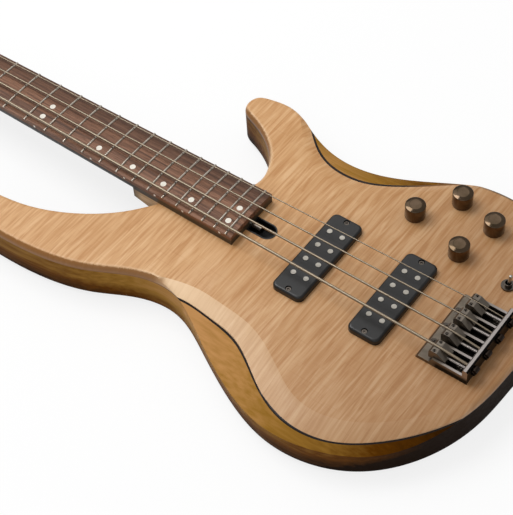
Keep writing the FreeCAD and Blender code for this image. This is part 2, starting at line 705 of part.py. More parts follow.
def truss_rod():
    """Steel rod in its channel, with a thin spindle that carries the nut."""
    half = ROD_WIDTH / 2
    low = ROD_AXIS_Z - ROD_HEIGHT / 2
    bar = box(NUT_FACE + ROD_START, BOARD_END - 1, -half, half, low, GLUE_PLANE - FACE_CLEARANCE)
    spindle = rod(ROD_NUT_RADIUS / 2, V(BOARD_END - 2, 0, ROD_AXIS_Z), X_AXIS, ROD_NUT_LENGTH)
    return bar.fuse(spindle)


def truss_rod_nut():
    """Socket nut on the rod's spindle, reached through the access cup."""
    start = BOARD_END + CUP_WALL + MOVING_CLEARANCE
    shape = rod(ROD_NUT_RADIUS, V(start, 0, ROD_AXIS_Z), X_AXIS, ROD_NUT_LENGTH)
    bore = ROD_NUT_RADIUS / 2 + RUNNING_CLEARANCE
    spindle = rod(bore, V(start - 1, 0, ROD_AXIS_Z), X_AXIS, ROD_NUT_LENGTH - 1)
    socket = prism(hexagon(0, 0, ROD_SOCKET_RADIUS), 0, ROD_SOCKET_DEPTH + 1)
    seat = V(start + ROD_NUT_LENGTH - ROD_SOCKET_DEPTH, 0, ROD_AXIS_Z)
    socket.Placement = FreeCAD.Placement(seat, FreeCAD.Rotation(Z_AXIS, X_AXIS))
    return shape.cut([spindle, socket])


def cup_plan(shrink, z0, z1):
    """Pill-shaped plan of the access cup, square against the heel."""
    half = CUP_WIDTH / 2 - shrink
    start = BOARD_END + FACE_CLEARANCE + shrink
    centre = BOARD_END + CUP_LENGTH - CUP_WIDTH / 2
    straight = box(start, centre, -half, half, z0, z1)
    return straight.fuse(rod(half, V(centre, 0, z0), Z_AXIS, z1 - z0)).removeSplitter()


def cup_rout():
    """Rout in the body for the access cup."""
    return cup_plan(-FACE_CLEARANCE, TOP - CUP_DEPTH, TOP + 1)


def truss_rod_cup():
    """Thin black cup that lines the truss rod's access rout."""
    shell = cup_plan(0, TOP - CUP_DEPTH, TOP + CUP_PROUD)
    shell = shell.cut(cup_plan(CUP_WALL, TOP - CUP_DEPTH + CUP_WALL, TOP + 1))
    window = rod(ROD_NUT_RADIUS / 2 + 1, V(BOARD_END - 1, 0, ROD_AXIS_Z), X_AXIS, CUP_WALL + 2)
    return shell.cut(window)


# Pickups

def pole_points(x):
    """Places of the poles of the pickup centred at x."""
    points = []
    for row in (-1, 1):
        for index in range(len(STRING_NAMES)):
            across = (index - (len(STRING_NAMES) - 1) / 2) * POLE_PITCH
            points.append((x + row * POLE_ROW_GAP / 2, across))
    return points


def pickup_cover(x):
    """Moulded cover, open below, with holes for its poles and its two screws."""
    low = TOP - PICKUP_SUNK
    high = TOP + PICKUP_RISE
    height = high - low
    shape = rounded_prism(rectangle(x, 0, PICKUP_LENGTH, PICKUP_WIDTH), low, high, PICKUP_CORNER)
    shape = shape.makeFillet(PICKUP_EDGE, [e for e in shape.Edges if e.BoundBox.ZMin > high - 0.1])
    half_x = PICKUP_LENGTH / 2 - PICKUP_WALL
    half_y = PICKUP_WIDTH / 2 - PICKUP_END_WALL
    tools = [box(x - half_x, x + half_x, -half_y, half_y, low - 1, high - PICKUP_ROOF)]
    for px, py in pole_points(x):
        tools.append(rod(POLE_RADIUS + FACE_CLEARANCE, V(px, py, low), Z_AXIS, height + 1))
    for place, _ in pickup_screw_points(x):
        foot = V(place.x, place.y, low - 1)
        tools.append(rod(SMALL_SCREW_RADIUS + FACE_CLEARANCE, foot, Z_AXIS, height + 2))
        tools.append(rod(SMALL_SCREW_HEAD + FACE_CLEARANCE, place, Z_AXIS, height))
    return cut_all(shape, tools)


def pickup_screw_points(x):
    """Head seats of the two screws at a pickup's ends."""
    reach = PICKUP_WIDTH / 2 - PICKUP_SCREW_INSET
    seat = TOP + PICKUP_RISE - PICKUP_SCREW_SEAT
    return [(V(x, side * reach, seat), Z_AXIS) for side in (-1, 1)]


def pickup_coils():
    """Two wound bobbins in each pickup."""
    coils = []
    low = TOP - PICKUP_SUNK
    for _, x in PICKUP_CENTRES:
        for row in (-1, 1):
            middle = x + row * POLE_ROW_GAP / 2
            coil = stadium(middle, 0, COIL_WIDTH, COIL_LENGTH, low, low + COIL_HEIGHT)
            drills = [rod(POLE_RADIUS + FACE_CLEARANCE, V(px, py, low - 1), Z_AXIS, COIL_HEIGHT + 2)
                      for px, py in pole_points(x)]
            coils.append(coil.cut(drills))
    return Part.makeCompound(coils)


def pickup_poles():
    """Pole pieces that pass through the coils and stand just proud of the covers."""
    low = TOP - PICKUP_SUNK
    height = PICKUP_SUNK + PICKUP_RISE + POLE_PROUD
    poles = []
    for _, x in PICKUP_CENTRES:
        for px, py in pole_points(x):
            poles.append(rod(POLE_RADIUS, V(px, py, low), Z_AXIS, height))
    return Part.makeCompound(poles)


# Controls

def cavity_rout():
    """Rout under the controls, opened from the back."""
    return rounded_prism(CONTROL_CAVITY, -1, CAVITY_TOP, CAVITY_CORNER)


def cover_plan(grow, z0, z1):
    """The control cover's plan: the cavity's, with a lip all round."""
    corners = [V(x, y, z0) for x, y in CONTROL_CAVITY]
    wire = Part.makePolygon(corners + corners[:1])
    wide = wire.makeOffset2D(COVER_LIP + grow, 0, False, False, True)
    return Part.Face(wide).extrude(V(0, 0, z1 - z0))


def cover_recess():
    """Shallow recess that takes the control cover flush."""
    return cover_plan(FACE_CLEARANCE, -1, COVER_THICKNESS + BACK_RECESS)


def cover_screw_points():
    """Screws through the lip of the control cover."""
    places = []
    count = len(CONTROL_CAVITY)
    middle = [sum(p[k] for p in CONTROL_CAVITY) / count for k in (0, 1)]
    for x, y in CONTROL_CAVITY[::2] + CONTROL_CAVITY[1::4]:
        away = V(x - middle[0], y - middle[1], 0)
        away.normalize()
        places.append((V(x, y, COVER_SCREW_SEAT) + away * COVER_SCREW_REACH, -Z_AXIS))
    return places


def control_cover():
    """Plate over the control cavity."""
    shape = cover_plan(0, BACK_RECESS, COVER_THICKNESS + BACK_RECESS)
    return cut_all(shape, plate_screw_holes(cover_screw_points()))


def plate_screw_holes(points):
    """Counterbored holes for the screws through a plate in the back."""
    tools = []
    for place, _ in points:
        below = V(place.x, place.y, -1)
        tools.append(rod(SMALL_SCREW_RADIUS + FACE_CLEARANCE, below, Z_AXIS, 2 * COVER_THICKNESS + 2))
        tools.append(rod(SMALL_SCREW_HEAD + FACE_CLEARANCE, below, Z_AXIS, 1 + place.z))
    return tools


def potentiometers():
    """Pot cases under the roof of the cavity, each with a bushing and a nut on the face."""
    bore = SHAFT_RADIUS + RUNNING_CLEARANCE
    low = CAVITY_TOP - POT_HEIGHT
    high = TOP + BUSHING_RISE
    pots = []
    for _, x, y in KNOB_PLACES:
        profile = ((bore, low + POT_FLOOR), (bore, high), (BUSHING_RADIUS, high),
                   (BUSHING_RADIUS, CAVITY_TOP), (POT_RADIUS, CAVITY_TOP), (POT_RADIUS, low), (0, low),
                   (0, low + POT_FLOOR))
        pots.append(turned(profile, V(x, y, 0), Z_AXIS))
        pots.append(ring_nut(x, y))
    return Part.makeCompound(pots)


def ring_nut(x, y):
    """Round washer nut that clamps a bushing to the face."""
    inner = BUSHING_RADIUS + FACE_CLEARANCE
    outer = inner + WASHER_RIM
    high = TOP + WASHER_THICKNESS
    profile = ((inner, TOP), (outer, TOP), (outer, high), (inner, high))
    return turned(profile, V(x, y, 0), Z_AXIS)


def knob(x, y):
    """Knob with a bevelled crown and a recess over the nut, and the shaft that turns with it."""
    low = TOP + MOVING_CLEARANCE
    top = TOP + KNOB_HEIGHT
    recess = BUSHING_RADIUS + WASHER_RIM + 2 * MOVING_CLEARANCE
    recess_top = TOP + BUSHING_RISE + 1
    bore = SHAFT_RADIUS + FACE_CLEARANCE
    shaft_top = top - KNOB_CROWN
    bore_top = shaft_top + FACE_CLEARANCE
    profile = ((recess, low), (KNOB_RADIUS, low), (KNOB_RADIUS, top - KNOB_BEVEL),
               (KNOB_RADIUS - KNOB_BEVEL, top), (0, top), (0, bore_top), (bore, bore_top),
               (bore, recess_top), (recess, recess_top))
    cap = turned(profile, V(x, y, 0), Z_AXIS)
    shaft_low = CAVITY_TOP - POT_HEIGHT + POT_FLOOR + MOVING_CLEARANCE
    shaft = rod(SHAFT_RADIUS, V(x, y, shaft_low), Z_AXIS, shaft_top - shaft_low)
    return Part.makeCompound([cap, shaft])


def toggle_body():
    """Mini toggle's case, bushing and nut."""
    x, y = TOGGLE_PLACE
    length, width, depth = TOGGLE_CASE
    case = prism(rectangle(x, y, length, width), CAVITY_TOP - depth, CAVITY_TOP)
    high = TOP + TOGGLE_RISE
    bushing = rod(BUSHING_RADIUS, V(x, y, CAVITY_TOP - 1), Z_AXIS, high - CAVITY_TOP + 1)
    floor = CAVITY_TOP - TOGGLE_BORE_DEPTH
    profile = ((0, floor), (TOGGLE_BORE, floor), (TOGGLE_BORE, TOP), (TOGGLE_MOUTH, high + 1), (0, high + 1))
    throat = turned(profile, V(x, y, 0), Z_AXIS)
    return Part.makeCompound([case.fuse(bushing).cut(throat), ring_nut(x, y)])


def toggle_lever():
    """Slim bat lever, leaning to one side."""
    x, y = TOGGLE_PLACE
    lever = turned(LEVER_PROFILE, V(0, 0, 0), Z_AXIS)
    lever.Placement = FreeCAD.Placement(V(x, y, TOP), FreeCAD.Rotation(Y_AXIS, TOGGLE_LEAN / 2))
    return lever


def preamp_board():
    """Circuit board that rests on the backs of the tone pots."""
    z = CAVITY_TOP - POT_HEIGHT
    return box(*PREAMP_PLAN, z - PREAMP_THICKNESS, z)


def jack_seat_y():
    """Where the side of the body meets the jack's axis."""
    reach = 2 * max(y for _, y in BODY_OUTLINE)
    line = Part.makeLine(V(JACK_X, reach / 4, 0), V(JACK_X, reach, 0))
    meeting = line.distToShape(outline_wire())[1][0][0]
    return meeting.y - JACK_SEAT_DEPTH


def jack_rout():
    """Bore for the output jack with a flat seat for its flange."""
    y = jack_seat_y()
    place = V(JACK_X, y, TOP / 2)
    into_cavity = y - max(edge for _, edge in CONTROL_CAVITY)
    bore = rod(JACK_BODY_RADIUS + FACE_CLEARANCE, place, -Y_AXIS, JACK_LENGTH + into_cavity)
    return bore.fuse(rod(JACK_FLANGE_RADIUS + MOVING_CLEARANCE, place, Y_AXIS, JACK_LENGTH))


def output_jack():
    """Barrel jack with a round flange on the side of the body."""
    floor = JACK_END_WALL - JACK_LENGTH
    profile = ((JACK_BORE_RADIUS, JACK_FLANGE), (JACK_FLANGE_RADIUS, JACK_FLANGE), (JACK_FLANGE_RADIUS, 0),
               (JACK_BODY_RADIUS, 0), (JACK_BODY_RADIUS, -JACK_LENGTH), (0, -JACK_LENGTH), (0, floor),
               (JACK_BORE_RADIUS, floor))
    return turned(profile, V(JACK_X, jack_seat_y(), TOP / 2), Y_AXIS)


def battery_plan(grow, z0, z1):
    """Box in plan round the battery."""
    length, width, _ = BATTERY_SIZE
    cx, cy = BATTERY_CENTRE
    half_x = length / 2 + grow
    half_y = width / 2 + grow
    return box(cx - half_x, cx + half_x, cy - half_y, cy + half_y, z0, z1)


def battery_top():
    """Height of the battery box's roof above the back."""
    return battery_low() + BATTERY_SIZE[2] + 2 * BATTERY_FLOOR_GAP + BATTERY_BOX_WALL


def battery_low():
    """Height of the battery's underside, just inside its cover."""
    return COVER_THICKNESS + BACK_RECESS + BATTERY_FLOOR_GAP


def battery_rout():
    """Compartment for the battery and the recess for its cover."""
    grow = BATTERY_BOX_WALL + BATTERY_GAP + FACE_CLEARANCE
    rout = battery_plan(grow, -1, battery_top() + FACE_CLEARANCE)
    return rout.fuse(battery_plan(grow + BATTERY_LIP, -1, COVER_THICKNESS + BACK_RECESS))


def battery_box():
    """Plastic tray that lines the battery compartment."""
    shell = battery_plan(BATTERY_BOX_WALL + BATTERY_GAP, battery_low(), battery_top())
    return shell.cut(battery_plan(BATTERY_GAP, -1, battery_top() - BATTERY_BOX_WALL))


def battery():
    """Nine-volt block battery."""
    return battery_plan(0, battery_low(), battery_low() + BATTERY_SIZE[2])


def battery_screw_points():
    """Two screws at the ends of the battery cover."""
    cx, cy = BATTERY_CENTRE
    reach = BATTERY_SIZE[0] / 2 + BATTERY_BOX_WALL + BATTERY_SCREW_REACH
    return [(V(cx + side * reach, cy, COVER_SCREW_SEAT), -Z_AXIS) for side in (-1, 1)]


def battery_cover():
    """Plate over the battery compartment, flush with the back."""
    grow = BATTERY_BOX_WALL + BATTERY_GAP + BATTERY_LIP
    shape = battery_plan(grow, BACK_RECESS, COVER_THICKNESS + BACK_RECESS)
    return cut_all(shape, plate_screw_holes(battery_screw_points()))


# Screws and strap buttons

def tuner_screw_points():
    """One screw through the ear of each tuner housing into the headstock's back."""
    posts = [post_point(name) for name in STRING_NAMES]
    return [(V(x - EAR_REACH, y, HEAD_BOTTOM), -Z_AXIS) for x, y in posts]


def small_screw_points():
    """Small screws that go into the body: seat of the head and outward axis."""
    points = cover_screw_points() + battery_screw_points()
    for _, x in PICKUP_CENTRES:
        points += [(V(p.x, p.y, TOP - PICKUP_SUNK + 1), a) for p, a in pickup_screw_points(x)]
    return points


def small_screw(place, axis, length):
    """Pan-head wood screw, its head's seat at place and its head along axis."""
    crown = SMALL_SCREW_CROWN
    profile = ((0, crown), (SMALL_SCREW_HEAD - crown / 2, crown), (SMALL_SCREW_HEAD, crown / 2),
               (SMALL_SCREW_HEAD, 0), (SMALL_SCREW_RADIUS, 0),
               (SMALL_SCREW_RADIUS, SMALL_SCREW_RADIUS - length), (0, -length))
    screw = turned(profile, place, axis)
    return screw.cut(cross_recess(place + axis * crown, axis, SMALL_SCREW_RADIUS))


def cross_recess(place, axis, reach):
    """Two crossed slots in a screw's head, its crown at place, facing up or down."""
    low, high = sorted(((place - axis * RECESS_DEPTH).z, (place + axis).z))
    half = RECESS_WIDTH / 2
    return [box(place.x - a, place.x + a, place.y - b, place.y + b, low, high)
            for a, b in ((reach, half), (half, reach))]


def small_screws():
    """Every small wood screw: pickups, covers and tuners."""
    screws = []
    for place, axis in cover_screw_points() + battery_screw_points():
        screws.append(small_screw(place, axis, SMALL_SCREW_LENGTH))
    for _, x in PICKUP_CENTRES:
        for place, axis in pickup_screw_points(x):
            length = PICKUP_SUNK + PICKUP_RISE - PICKUP_SCREW_SEAT + SMALL_SCREW_LENGTH
            screws.append(small_screw(place, axis, length - 2))
    for place, axis in tuner_screw_points():
        screws.append(small_screw(place + axis * EAR_THICKNESS, axis, SMALL_SCREW_LENGTH))
    return Part.makeCompound(screws)


def strap_points():
    """Seats of the strap buttons on the tail and on the bass horn's tip."""
    tail = max(BODY_OUTLINE)
    tip = min(BODY_OUTLINE)
    return [(V(tail[0] - STRAP_SEAT_DEPTH, tail[1], TOP / 2), X_AXIS),
            (V(tip[0] + STRAP_SEAT_DEPTH, tip[1], TOP / 2), -X_AXIS)]


def strap_buttons():
    """Two waisted strap buttons, each with its screw's shank."""
    buttons = []
    foot, foot_end = STRAP_FOOT
    waist, waist_start, waist_end = STRAP_WAIST
    rim_start, rim_end = STRAP_RIM
    profile = ((0, -STRAP_SCREW_LENGTH), (STRAP_SCREW_RADIUS, STRAP_SCREW_TAPER - STRAP_SCREW_LENGTH),
               (STRAP_SCREW_RADIUS, 0), (foot, 0), (foot, foot_end), (waist, waist_start),
               (waist, waist_end), (STRAP_BUTTON_RADIUS, rim_start), (STRAP_BUTTON_RADIUS, rim_end),
               (STRAP_CROWN_RADIUS, STRAP_BUTTON_LENGTH), (0, STRAP_BUTTON_LENGTH))
    for place, axis in strap_points():
        buttons.append(turned(profile, place, axis))
    return Part.makeCompound(buttons)


# Bridge

def bridge_screw_points():
    """Screws through the bridge's front lip and floor."""
    front = BRIDGE_FRONT + BRIDGE_SCREW_INSET
    rear = BRIDGE_REAR - BRIDGE_WALL - BRIDGE_SCREW_INSET
    pitch = STRING_PITCH_BRIDGE
    return [(front, -pitch), (front, 0), (front, pitch), (rear, -pitch * 1.5), (rear, pitch * 1.5)]


def bridge_base():
    """Cast base: floor, bevelled front lip, side walls, rails and a thick rear wall."""
    half = BRIDGE_WIDTH / 2
    wall = BRIDGE_REAR - BRIDGE_WALL
    crest = TOP + BRIDGE_WALL_RISE
    inner, outer = BRIDGE_WALL_BEVELS
    side = [V(BRIDGE_FRONT, 0, TOP), V(BRIDGE_FRONT, 0, TOP + BRIDGE_LIP),
            V(BRIDGE_FRONT + BRIDGE_BEVEL, 0, PLATE_TOP), V(wall, 0, PLATE_TOP), V(wall, 0, crest - inner),
            V(wall + inner, 0, crest), V(BRIDGE_REAR - outer, 0, crest), V(BRIDGE_REAR, 0, crest - outer),
            V(BRIDGE_REAR, 0, TOP)]
    shape = Part.Face(Part.makePolygon(side + side[:1])).extrude(V(0, BRIDGE_WIDTH, 0))
    shape.translate(V(0, -half, 0))
    count = len(STRING_NAMES)
    for index in range(count + 1):
        y = (index - count / 2) * STRING_PITCH_BRIDGE
        y = max(-half + BRIDGE_RAIL_WIDTH / 2, min(half - BRIDGE_RAIL_WIDTH / 2, y))
        start = SADDLE_FRONT + BRIDGE_RAIL_START
        high = TOP + BRIDGE_RAIL_RISE
        rail = [V(start, y, PLATE_TOP - 1), V(start + BRIDGE_RAIL_SLOPE, y, high),
                V(wall + 1, y, high), V(wall + 1, y, PLATE_TOP - 1)]
        bar = Part.Face(Part.makePolygon(rail + rail[:1])).extrude(V(0, BRIDGE_RAIL_WIDTH, 0))
        bar.translate(V(0, -BRIDGE_RAIL_WIDTH / 2, 0))
        shape = shape.fuse(bar)
    shape = shape.removeSplitter()
    tools = []
    for index, diameter in enumerate(STRING_DIAMETERS):
        y = string_y(index, 0)
        screw = V(wall - 1, y, TOP + INTONATION_RISE)
        tools.append(rod(INTONATION_RADIUS + RUNNING_CLEARANCE, screw, X_AXIS, BRIDGE_WALL + 2))
        ball = string_ball(index)
        bore = BALL_RADIUS + BRIDGE_WALL + 2
        tools.append(rod(diameter / 2 + MOVING_CLEARANCE, ball, string_kink(index) - ball, bore))
    for x, y in bridge_screw_points():
        tools.append(turned(screw_socket(FACE_CLEARANCE), V(x, y, PLATE_TOP), Z_AXIS))
    return cut_all(shape, tools)


def screw_socket(grow):
    """Profile of a countersunk bridge screw, its head flush at height 0."""
    head = BRIDGE_SCREW_HEAD + grow
    shank = BRIDGE_SCREW_RADIUS + grow
    rim = 0.4
    return ((0, 0.2 * grow), (head, 0.2 * grow), (head, -rim), (shank, rim - BRIDGE_SCREW_HEAD),
            (shank, -BRIDGE_SCREW_LENGTH), (0, -BRIDGE_SCREW_LENGTH))


def bridge_screws():
    """Countersunk screws that hold the bridge to the body."""
    screws = []
    for x, y in bridge_screw_points():
        crown = V(x, y, PLATE_TOP)
        screw = turned(screw_socket(0.0), crown, Z_AXIS)
        screws.append(screw.cut(cross_recess(crown, Z_AXIS, BRIDGE_SCREW_RADIUS)))
    return Part.makeCompound(screws)


def saddle(index):
    """Saddle block: a grooved crest in front, a sloping back and holes for its screws."""
    y = string_y(index, 0)
    crest = string_point(index, 0)
    radius = STRING_DIAMETERS[index] / 2
    seat = crest.z - radius - MOVING_CLEARANCE
    low = PLATE_TOP + SADDLE_LIFT
    shoulder = seat + SADDLE_SHOULDER
    rear = SADDLE_FRONT + SADDLE_LENGTH
    side = [V(SADDLE_FRONT, 0, low), V(SADDLE_FRONT, 0, shoulder - SADDLE_BEVEL),
            V(SADDLE_FRONT + SADDLE_BEVEL, 0, shoulder), V(SADDLE_FRONT + SADDLE_CREST, 0, shoulder),
            V(rear, 0, TOP + INTONATION_RISE + SADDLE_TAIL_RISE), V(rear, 0, low)]
    block = Part.Face(Part.makePolygon(side + side[:1])).extrude(V(0, SADDLE_WIDTH, 0))
    block.translate(V(0, y - SADDLE_WIDTH / 2, 0))
    groove = radius + MOVING_CLEARANCE
    rest = 2 * MOVING_CLEARANCE
    fall = SADDLE_GROOVE_FALL * (rear + 1 - rest)
    floor = [V(SADDLE_FRONT - 1, 0, seat - rest), V(-rest, 0, seat), V(rest, 0, seat),
             V(rear + 1, 0, seat - fall), V(rear + 1, 0, shoulder + 1), V(SADDLE_FRONT - 1, 0, shoulder + 1)]
    channel = Part.Face(Part.makePolygon(floor + floor[:1])).extrude(V(0, 2 * groove, 0))
    channel.translate(V(0, y - groove, 0))
    screw = V(SADDLE_FRONT - 1, y, TOP + INTONATION_RISE)
    tools = [channel, rod(INTONATION_RADIUS + RUNNING_CLEARANCE, screw, X_AXIS, SADDLE_LENGTH + 2)]
    for place in height_screw_points(index):
        length = shoulder - place.z + 2
        tools.append(rod(HEIGHT_SCREW_RADIUS + FACE_CLEARANCE, place - Z_AXIS, Z_AXIS, length))
    return cut_all(block, tools)


def height_screw_points(index):
    """Feet of a saddle's two height screws."""
    y = string_y(index, 0)
    x = SADDLE_FRONT + HEIGHT_SCREW_INSET
    foot = PLATE_TOP + MOVING_CLEARANCE
    return [V(x, y + side * HEIGHT_SCREW_OFFSET, foot) for side in (-1, 1)]


def height_screws(index):
    """Grub screws that hold a saddle up, each with a hex socket."""
    top = string_point(index, 0).z - STRING_DIAMETERS[index] / 2 + HEIGHT_SCREW_PROUD
    screws = []
    for place in height_screw_points(index):
        screw = rod(HEIGHT_SCREW_RADIUS, place, Z_AXIS, top - place.z)
        socket = prism(hexagon(place.x, place.y, HEX_SOCKET_RADIUS), top - HEX_SOCKET_DEPTH, top + 1)
        screws.append(screw.cut(socket))
    return Part.makeCompound(screws)


def intonation_screw(index):
    """Screw through the rear wall into the saddle, its head behind the wall."""
    y = string_y(index, 0)
    z = TOP + INTONATION_RISE
    front = SADDLE_FRONT + SADDLE_REAR_TRAVEL + 1
    shank = rod(INTONATION_RADIUS, V(front, y, z), X_AXIS, BRIDGE_REAR - front + MOVING_CLEARANCE)
    head_start = BRIDGE_REAR + MOVING_CLEARANCE
    head_end = head_start + INTONATION_HEAD_LENGTH
    head = rod(INTONATION_HEAD, V(head_start, y, z), X_AXIS, INTONATION_HEAD_LENGTH)
    half = INTONATION_SLOT / 2
    reach = INTONATION_HEAD + 1
    slot = box(head_end - INTONATION_SLOT_DEPTH, head_end + 1, y - half, y + half, z - reach, z + reach)
    return shank.fuse(head).cut(slot)


# Tuners

def post_point(name):
    """Place of a tuner's post on the headstock."""
    along, across = POST_PLACES[name]
    return HEAD_END + along, across


def outward(name):
    """-1 for a bass-side tuner, +1 for a treble-side tuner."""
    return math.copysign(1.0, POST_PLACES[name][1])


def gear_z():
    """Height of the worm's axis, in the middle of the housing."""
    return HEAD_BOTTOM - HOUSING_DEPTH / 2


def worm_x(name):
    """Where the worm's axis lies along the neck."""
    return post_point(name)[0] + WHEEL_RADIUS + WORM_RADIUS + MOVING_CLEARANCE


def tuner_post(name):
    """String post with a flange and a slotted top, on its worm wheel."""
    x, y = post_point(name)
    top = HEAD_TOP + POST_RISE
    wheel_low = gear_z() - WHEEL_THICKNESS / 2
    wheel_high = wheel_low + WHEEL_THICKNESS
    spindle = POST_RADIUS - POST_STEP
    step = HEAD_TOP + POST_STEP_RISE
    rim = POST_RADIUS + POST_FLANGE
    bevel = 0.3 * POST_FLANGE_RISE
    profile = ((0, wheel_low), (WHEEL_RADIUS, wheel_low), (WHEEL_RADIUS, wheel_high), (spindle, wheel_high),
               (spindle, step), (POST_RADIUS, step), (POST_RADIUS, top - POST_FLANGE_RISE),
               (rim, top - POST_FLANGE_RISE + bevel), (rim, top - bevel),
               (POST_RADIUS + POST_FLANGE / 2, top), (0, top))
    post = turned(profile, V(x, y, 0), Z_AXIS)
    half = POST_SLOT_WIDTH / 2
    slot = box(x - 2 * rim, x + 2 * rim, y - half, y + half, top - POST_SLOT_DEPTH, top + 1)
    hole = rod(POST_HOLE_RADIUS, V(x, y, top - POST_HOLE_DEPTH), Z_AXIS, POST_HOLE_DEPTH + 1)
    return post.cut([slot, hole])


def tuner_bushing(name):
    """Threaded bushing with a hex collar on the headstock's face."""
    x, y = post_point(name)
    radius = POST_RADIUS - POST_STEP + RUNNING_CLEARANCE
    sleeve = rod(POST_RADIUS + BUSHING_WALL, V(x, y, HEAD_BOTTOM), Z_AXIS, HEADSTOCK_THICKNESS + 1)
    collar = prism(hexagon(x, y, COLLAR_RADIUS), HEAD_TOP, HEAD_TOP + COLLAR_RISE)
    washer = rod(COLLAR_WASHER_RADIUS, V(x, y, HEAD_TOP), Z_AXIS, COLLAR_WASHER)
    bore = rod(radius, V(x, y, HEAD_BOTTOM - 1), Z_AXIS, HEADSTOCK_THICKNESS + COLLAR_RISE + 2)
    return sleeve.fuse([collar, washer]).cut(bore).removeSplitter()


def tuner_housing(name):
    """Closed housing round the worm and wheel, with a screw ear and a sleeve for the key's shaft."""
    x, y = post_point(name)
    side = outward(name)
    x0 = x - WHEEL_RADIUS - HOUSING_END_GAP - HOUSING_WALL
    x1 = worm_x(name) + WORM_RADIUS + HOUSING_END_GAP + HOUSING_WALL
    half = WHEEL_RADIUS + HOUSING_SIDE_GAP + HOUSING_WALL
    low = HEAD_BOTTOM - HOUSING_DEPTH
    plan = rectangle((x0 + x1) / 2, y, x1 - x0, 2 * half)
    outer = rounded_prism(plan, low, HEAD_BOTTOM, HOUSING_CORNER)
    ear_x = x - EAR_REACH
    ear_low = HEAD_BOTTOM - EAR_THICKNESS
    ear = rod(EAR_RADIUS, V(ear_x, y, ear_low), Z_AXIS, EAR_THICKNESS)
    ear = ear.fuse(box(ear_x, x0 + 1, y - EAR_RADIUS, y + EAR_RADIUS, ear_low, HEAD_BOTTOM))
    out = V(0, side, 0)
    radius, length = HOUSING_SLEEVE
    sleeve = rod(radius, V(worm_x(name), y + side * half, gear_z()), out, length)
    inner = prism(rectangle((x0 + x1) / 2, y, x1 - x0 - 2 * HOUSING_WALL, 2 * (half - HOUSING_WALL)),
                  low + HOUSING_WALL, HEAD_BOTTOM + 1)
    shaft = rod(WORM_SHAFT_RADIUS + RUNNING_CLEARANCE, V(worm_x(name), y, gear_z()), out, half + length + 1)
    hole = rod(SMALL_SCREW_RADIUS + FACE_CLEARANCE, V(ear_x, y, low), Z_AXIS, HOUSING_DEPTH + 1)
    return outer.fuse([ear, sleeve]).cut([inner, shaft, hole]).removeSplitter()


def tuner_key(name):
    """Key: a worm inside the housing, its shaft and a leaf-shaped button."""
    y = post_point(name)[1]
    side = outward(name)
    half = WHEEL_RADIUS + HOUSING_SIDE_GAP - WORM_END_GAP
    start = V(worm_x(name), y - side * half, gear_z())
    axis = V(0, side, 0)
    worm = rod(WORM_RADIUS, start, axis, 2 * half)
    stem = KEY_REACH - abs(y) + KEY_STEM
    shaft = rod(WORM_SHAFT_RADIUS, V(start.x, y, gear_z()), axis, stem)
    leaf = leaf_plate()
    leaf.rotate(V(0, 0, 0), Z_AXIS, 90 - 90 * side)
    leaf.translate(V(start.x, side * KEY_REACH, gear_z()))
    return worm.fuse([shaft, leaf])


def leaf_plate():
    """Button of a tuner key: an oval plate with rounded rims, standing on its stem along +Y."""
    oval = Part.Ellipse(V(0, 0, 0), KEY_LENGTH / 2, KEY_HEIGHT / 2)
    face = Part.Face(Part.Wire(oval.toShape()))
    plate = face.extrude(V(0, 0, KEY_THICKNESS))
    plate = plate.makeFillet(KEY_THICKNESS / 3, [e for e in plate.Edges if e.BoundBox.ZLength < 1e-6])
    plate.translate(V(KEY_LENGTH / 2, 0, -KEY_THICKNESS / 2))
    plate.rotate(V(0, 0, 0), X_AXIS, 90)
    plate.rotate(V(0, 0, 0), Z_AXIS, 90)
    return plate


# Strings

def arc_between(start, corner, end):
    """Arc that touches the two legs of a corner at start and end."""
    chord = (start + end) * 0.5
    half_chord = (end - start).Length / 2
    half_turn = math.acos(min(1.0, half_chord / (corner - start).Length))
    share = math.tan(half_turn / 2) / math.tan(half_turn)
    return Part.Arc(start, chord + (corner - chord) * share, end).toShape()


def biarc(p0, t0, p1, t1):
    """Two arcs that join two points with given directions."""
    v = p1 - p0
    t = t0 + t1
    a = 2 * (1 - t0.dot(t1))
    b = v.dot(t)
    reach = (math.sqrt(b * b + a * v.dot(v)) - b) / a
    c0 = p0 + t0 * reach
    c1 = p1 - t1 * reach
    joint = (c0 + c1) * 0.5
    return [arc_between(p0, c0, joint), arc_between(joint, c1, p1)]


def rounded_run(points, reach):
    """Straight runs through points, with each corner eased by a tangent arc."""
    edges = []
    start = points[0]
    for before, corner, after in zip(points[:-2], points[1:-1], points[2:]):
        back = (before - corner).normalize() * reach
        ahead = (after - corner).normalize() * reach
        edges.append(Part.makeLine(start, corner + back))
        edges.append(arc_between(corner + back, corner, corner + ahead))
        start = corner + ahead
    edges.append(Part.makeLine(start, points[-1]))
    return edges


def winding_knots(name, radius, entry_z, pitch, side, start_angle):
    """Points and directions of a winding, every quarter turn, going down the post."""
    x, y = post_point(name)
    knots = []
    for step in range(int(WINDING_TURNS * 4) + 1):
        angle = start_angle + side * math.pi / 2 * step
        spoke = V(math.cos(angle), math.sin(angle), 0) * radius
        along = V(-spoke.y, spoke.x, 0) * side - Z_AXIS * (pitch / (2 * math.pi))
        point = V(x, y, entry_z - pitch * step / 4) + spoke
        knots.append((point, along.normalize()))
    return knots


def string_ball(index):
    """Centre of a string's ball end, behind the bridge's rear wall."""
    return V(BRIDGE_REAR + BALL_RADIUS, string_y(index, 0), TOP + STRING_HOLE_RISE)


def string_kink(index):
    """Where a string bends down behind its saddle's crest."""
    return string_point(index, SADDLE_REAR_TRAVEL + 2.0)


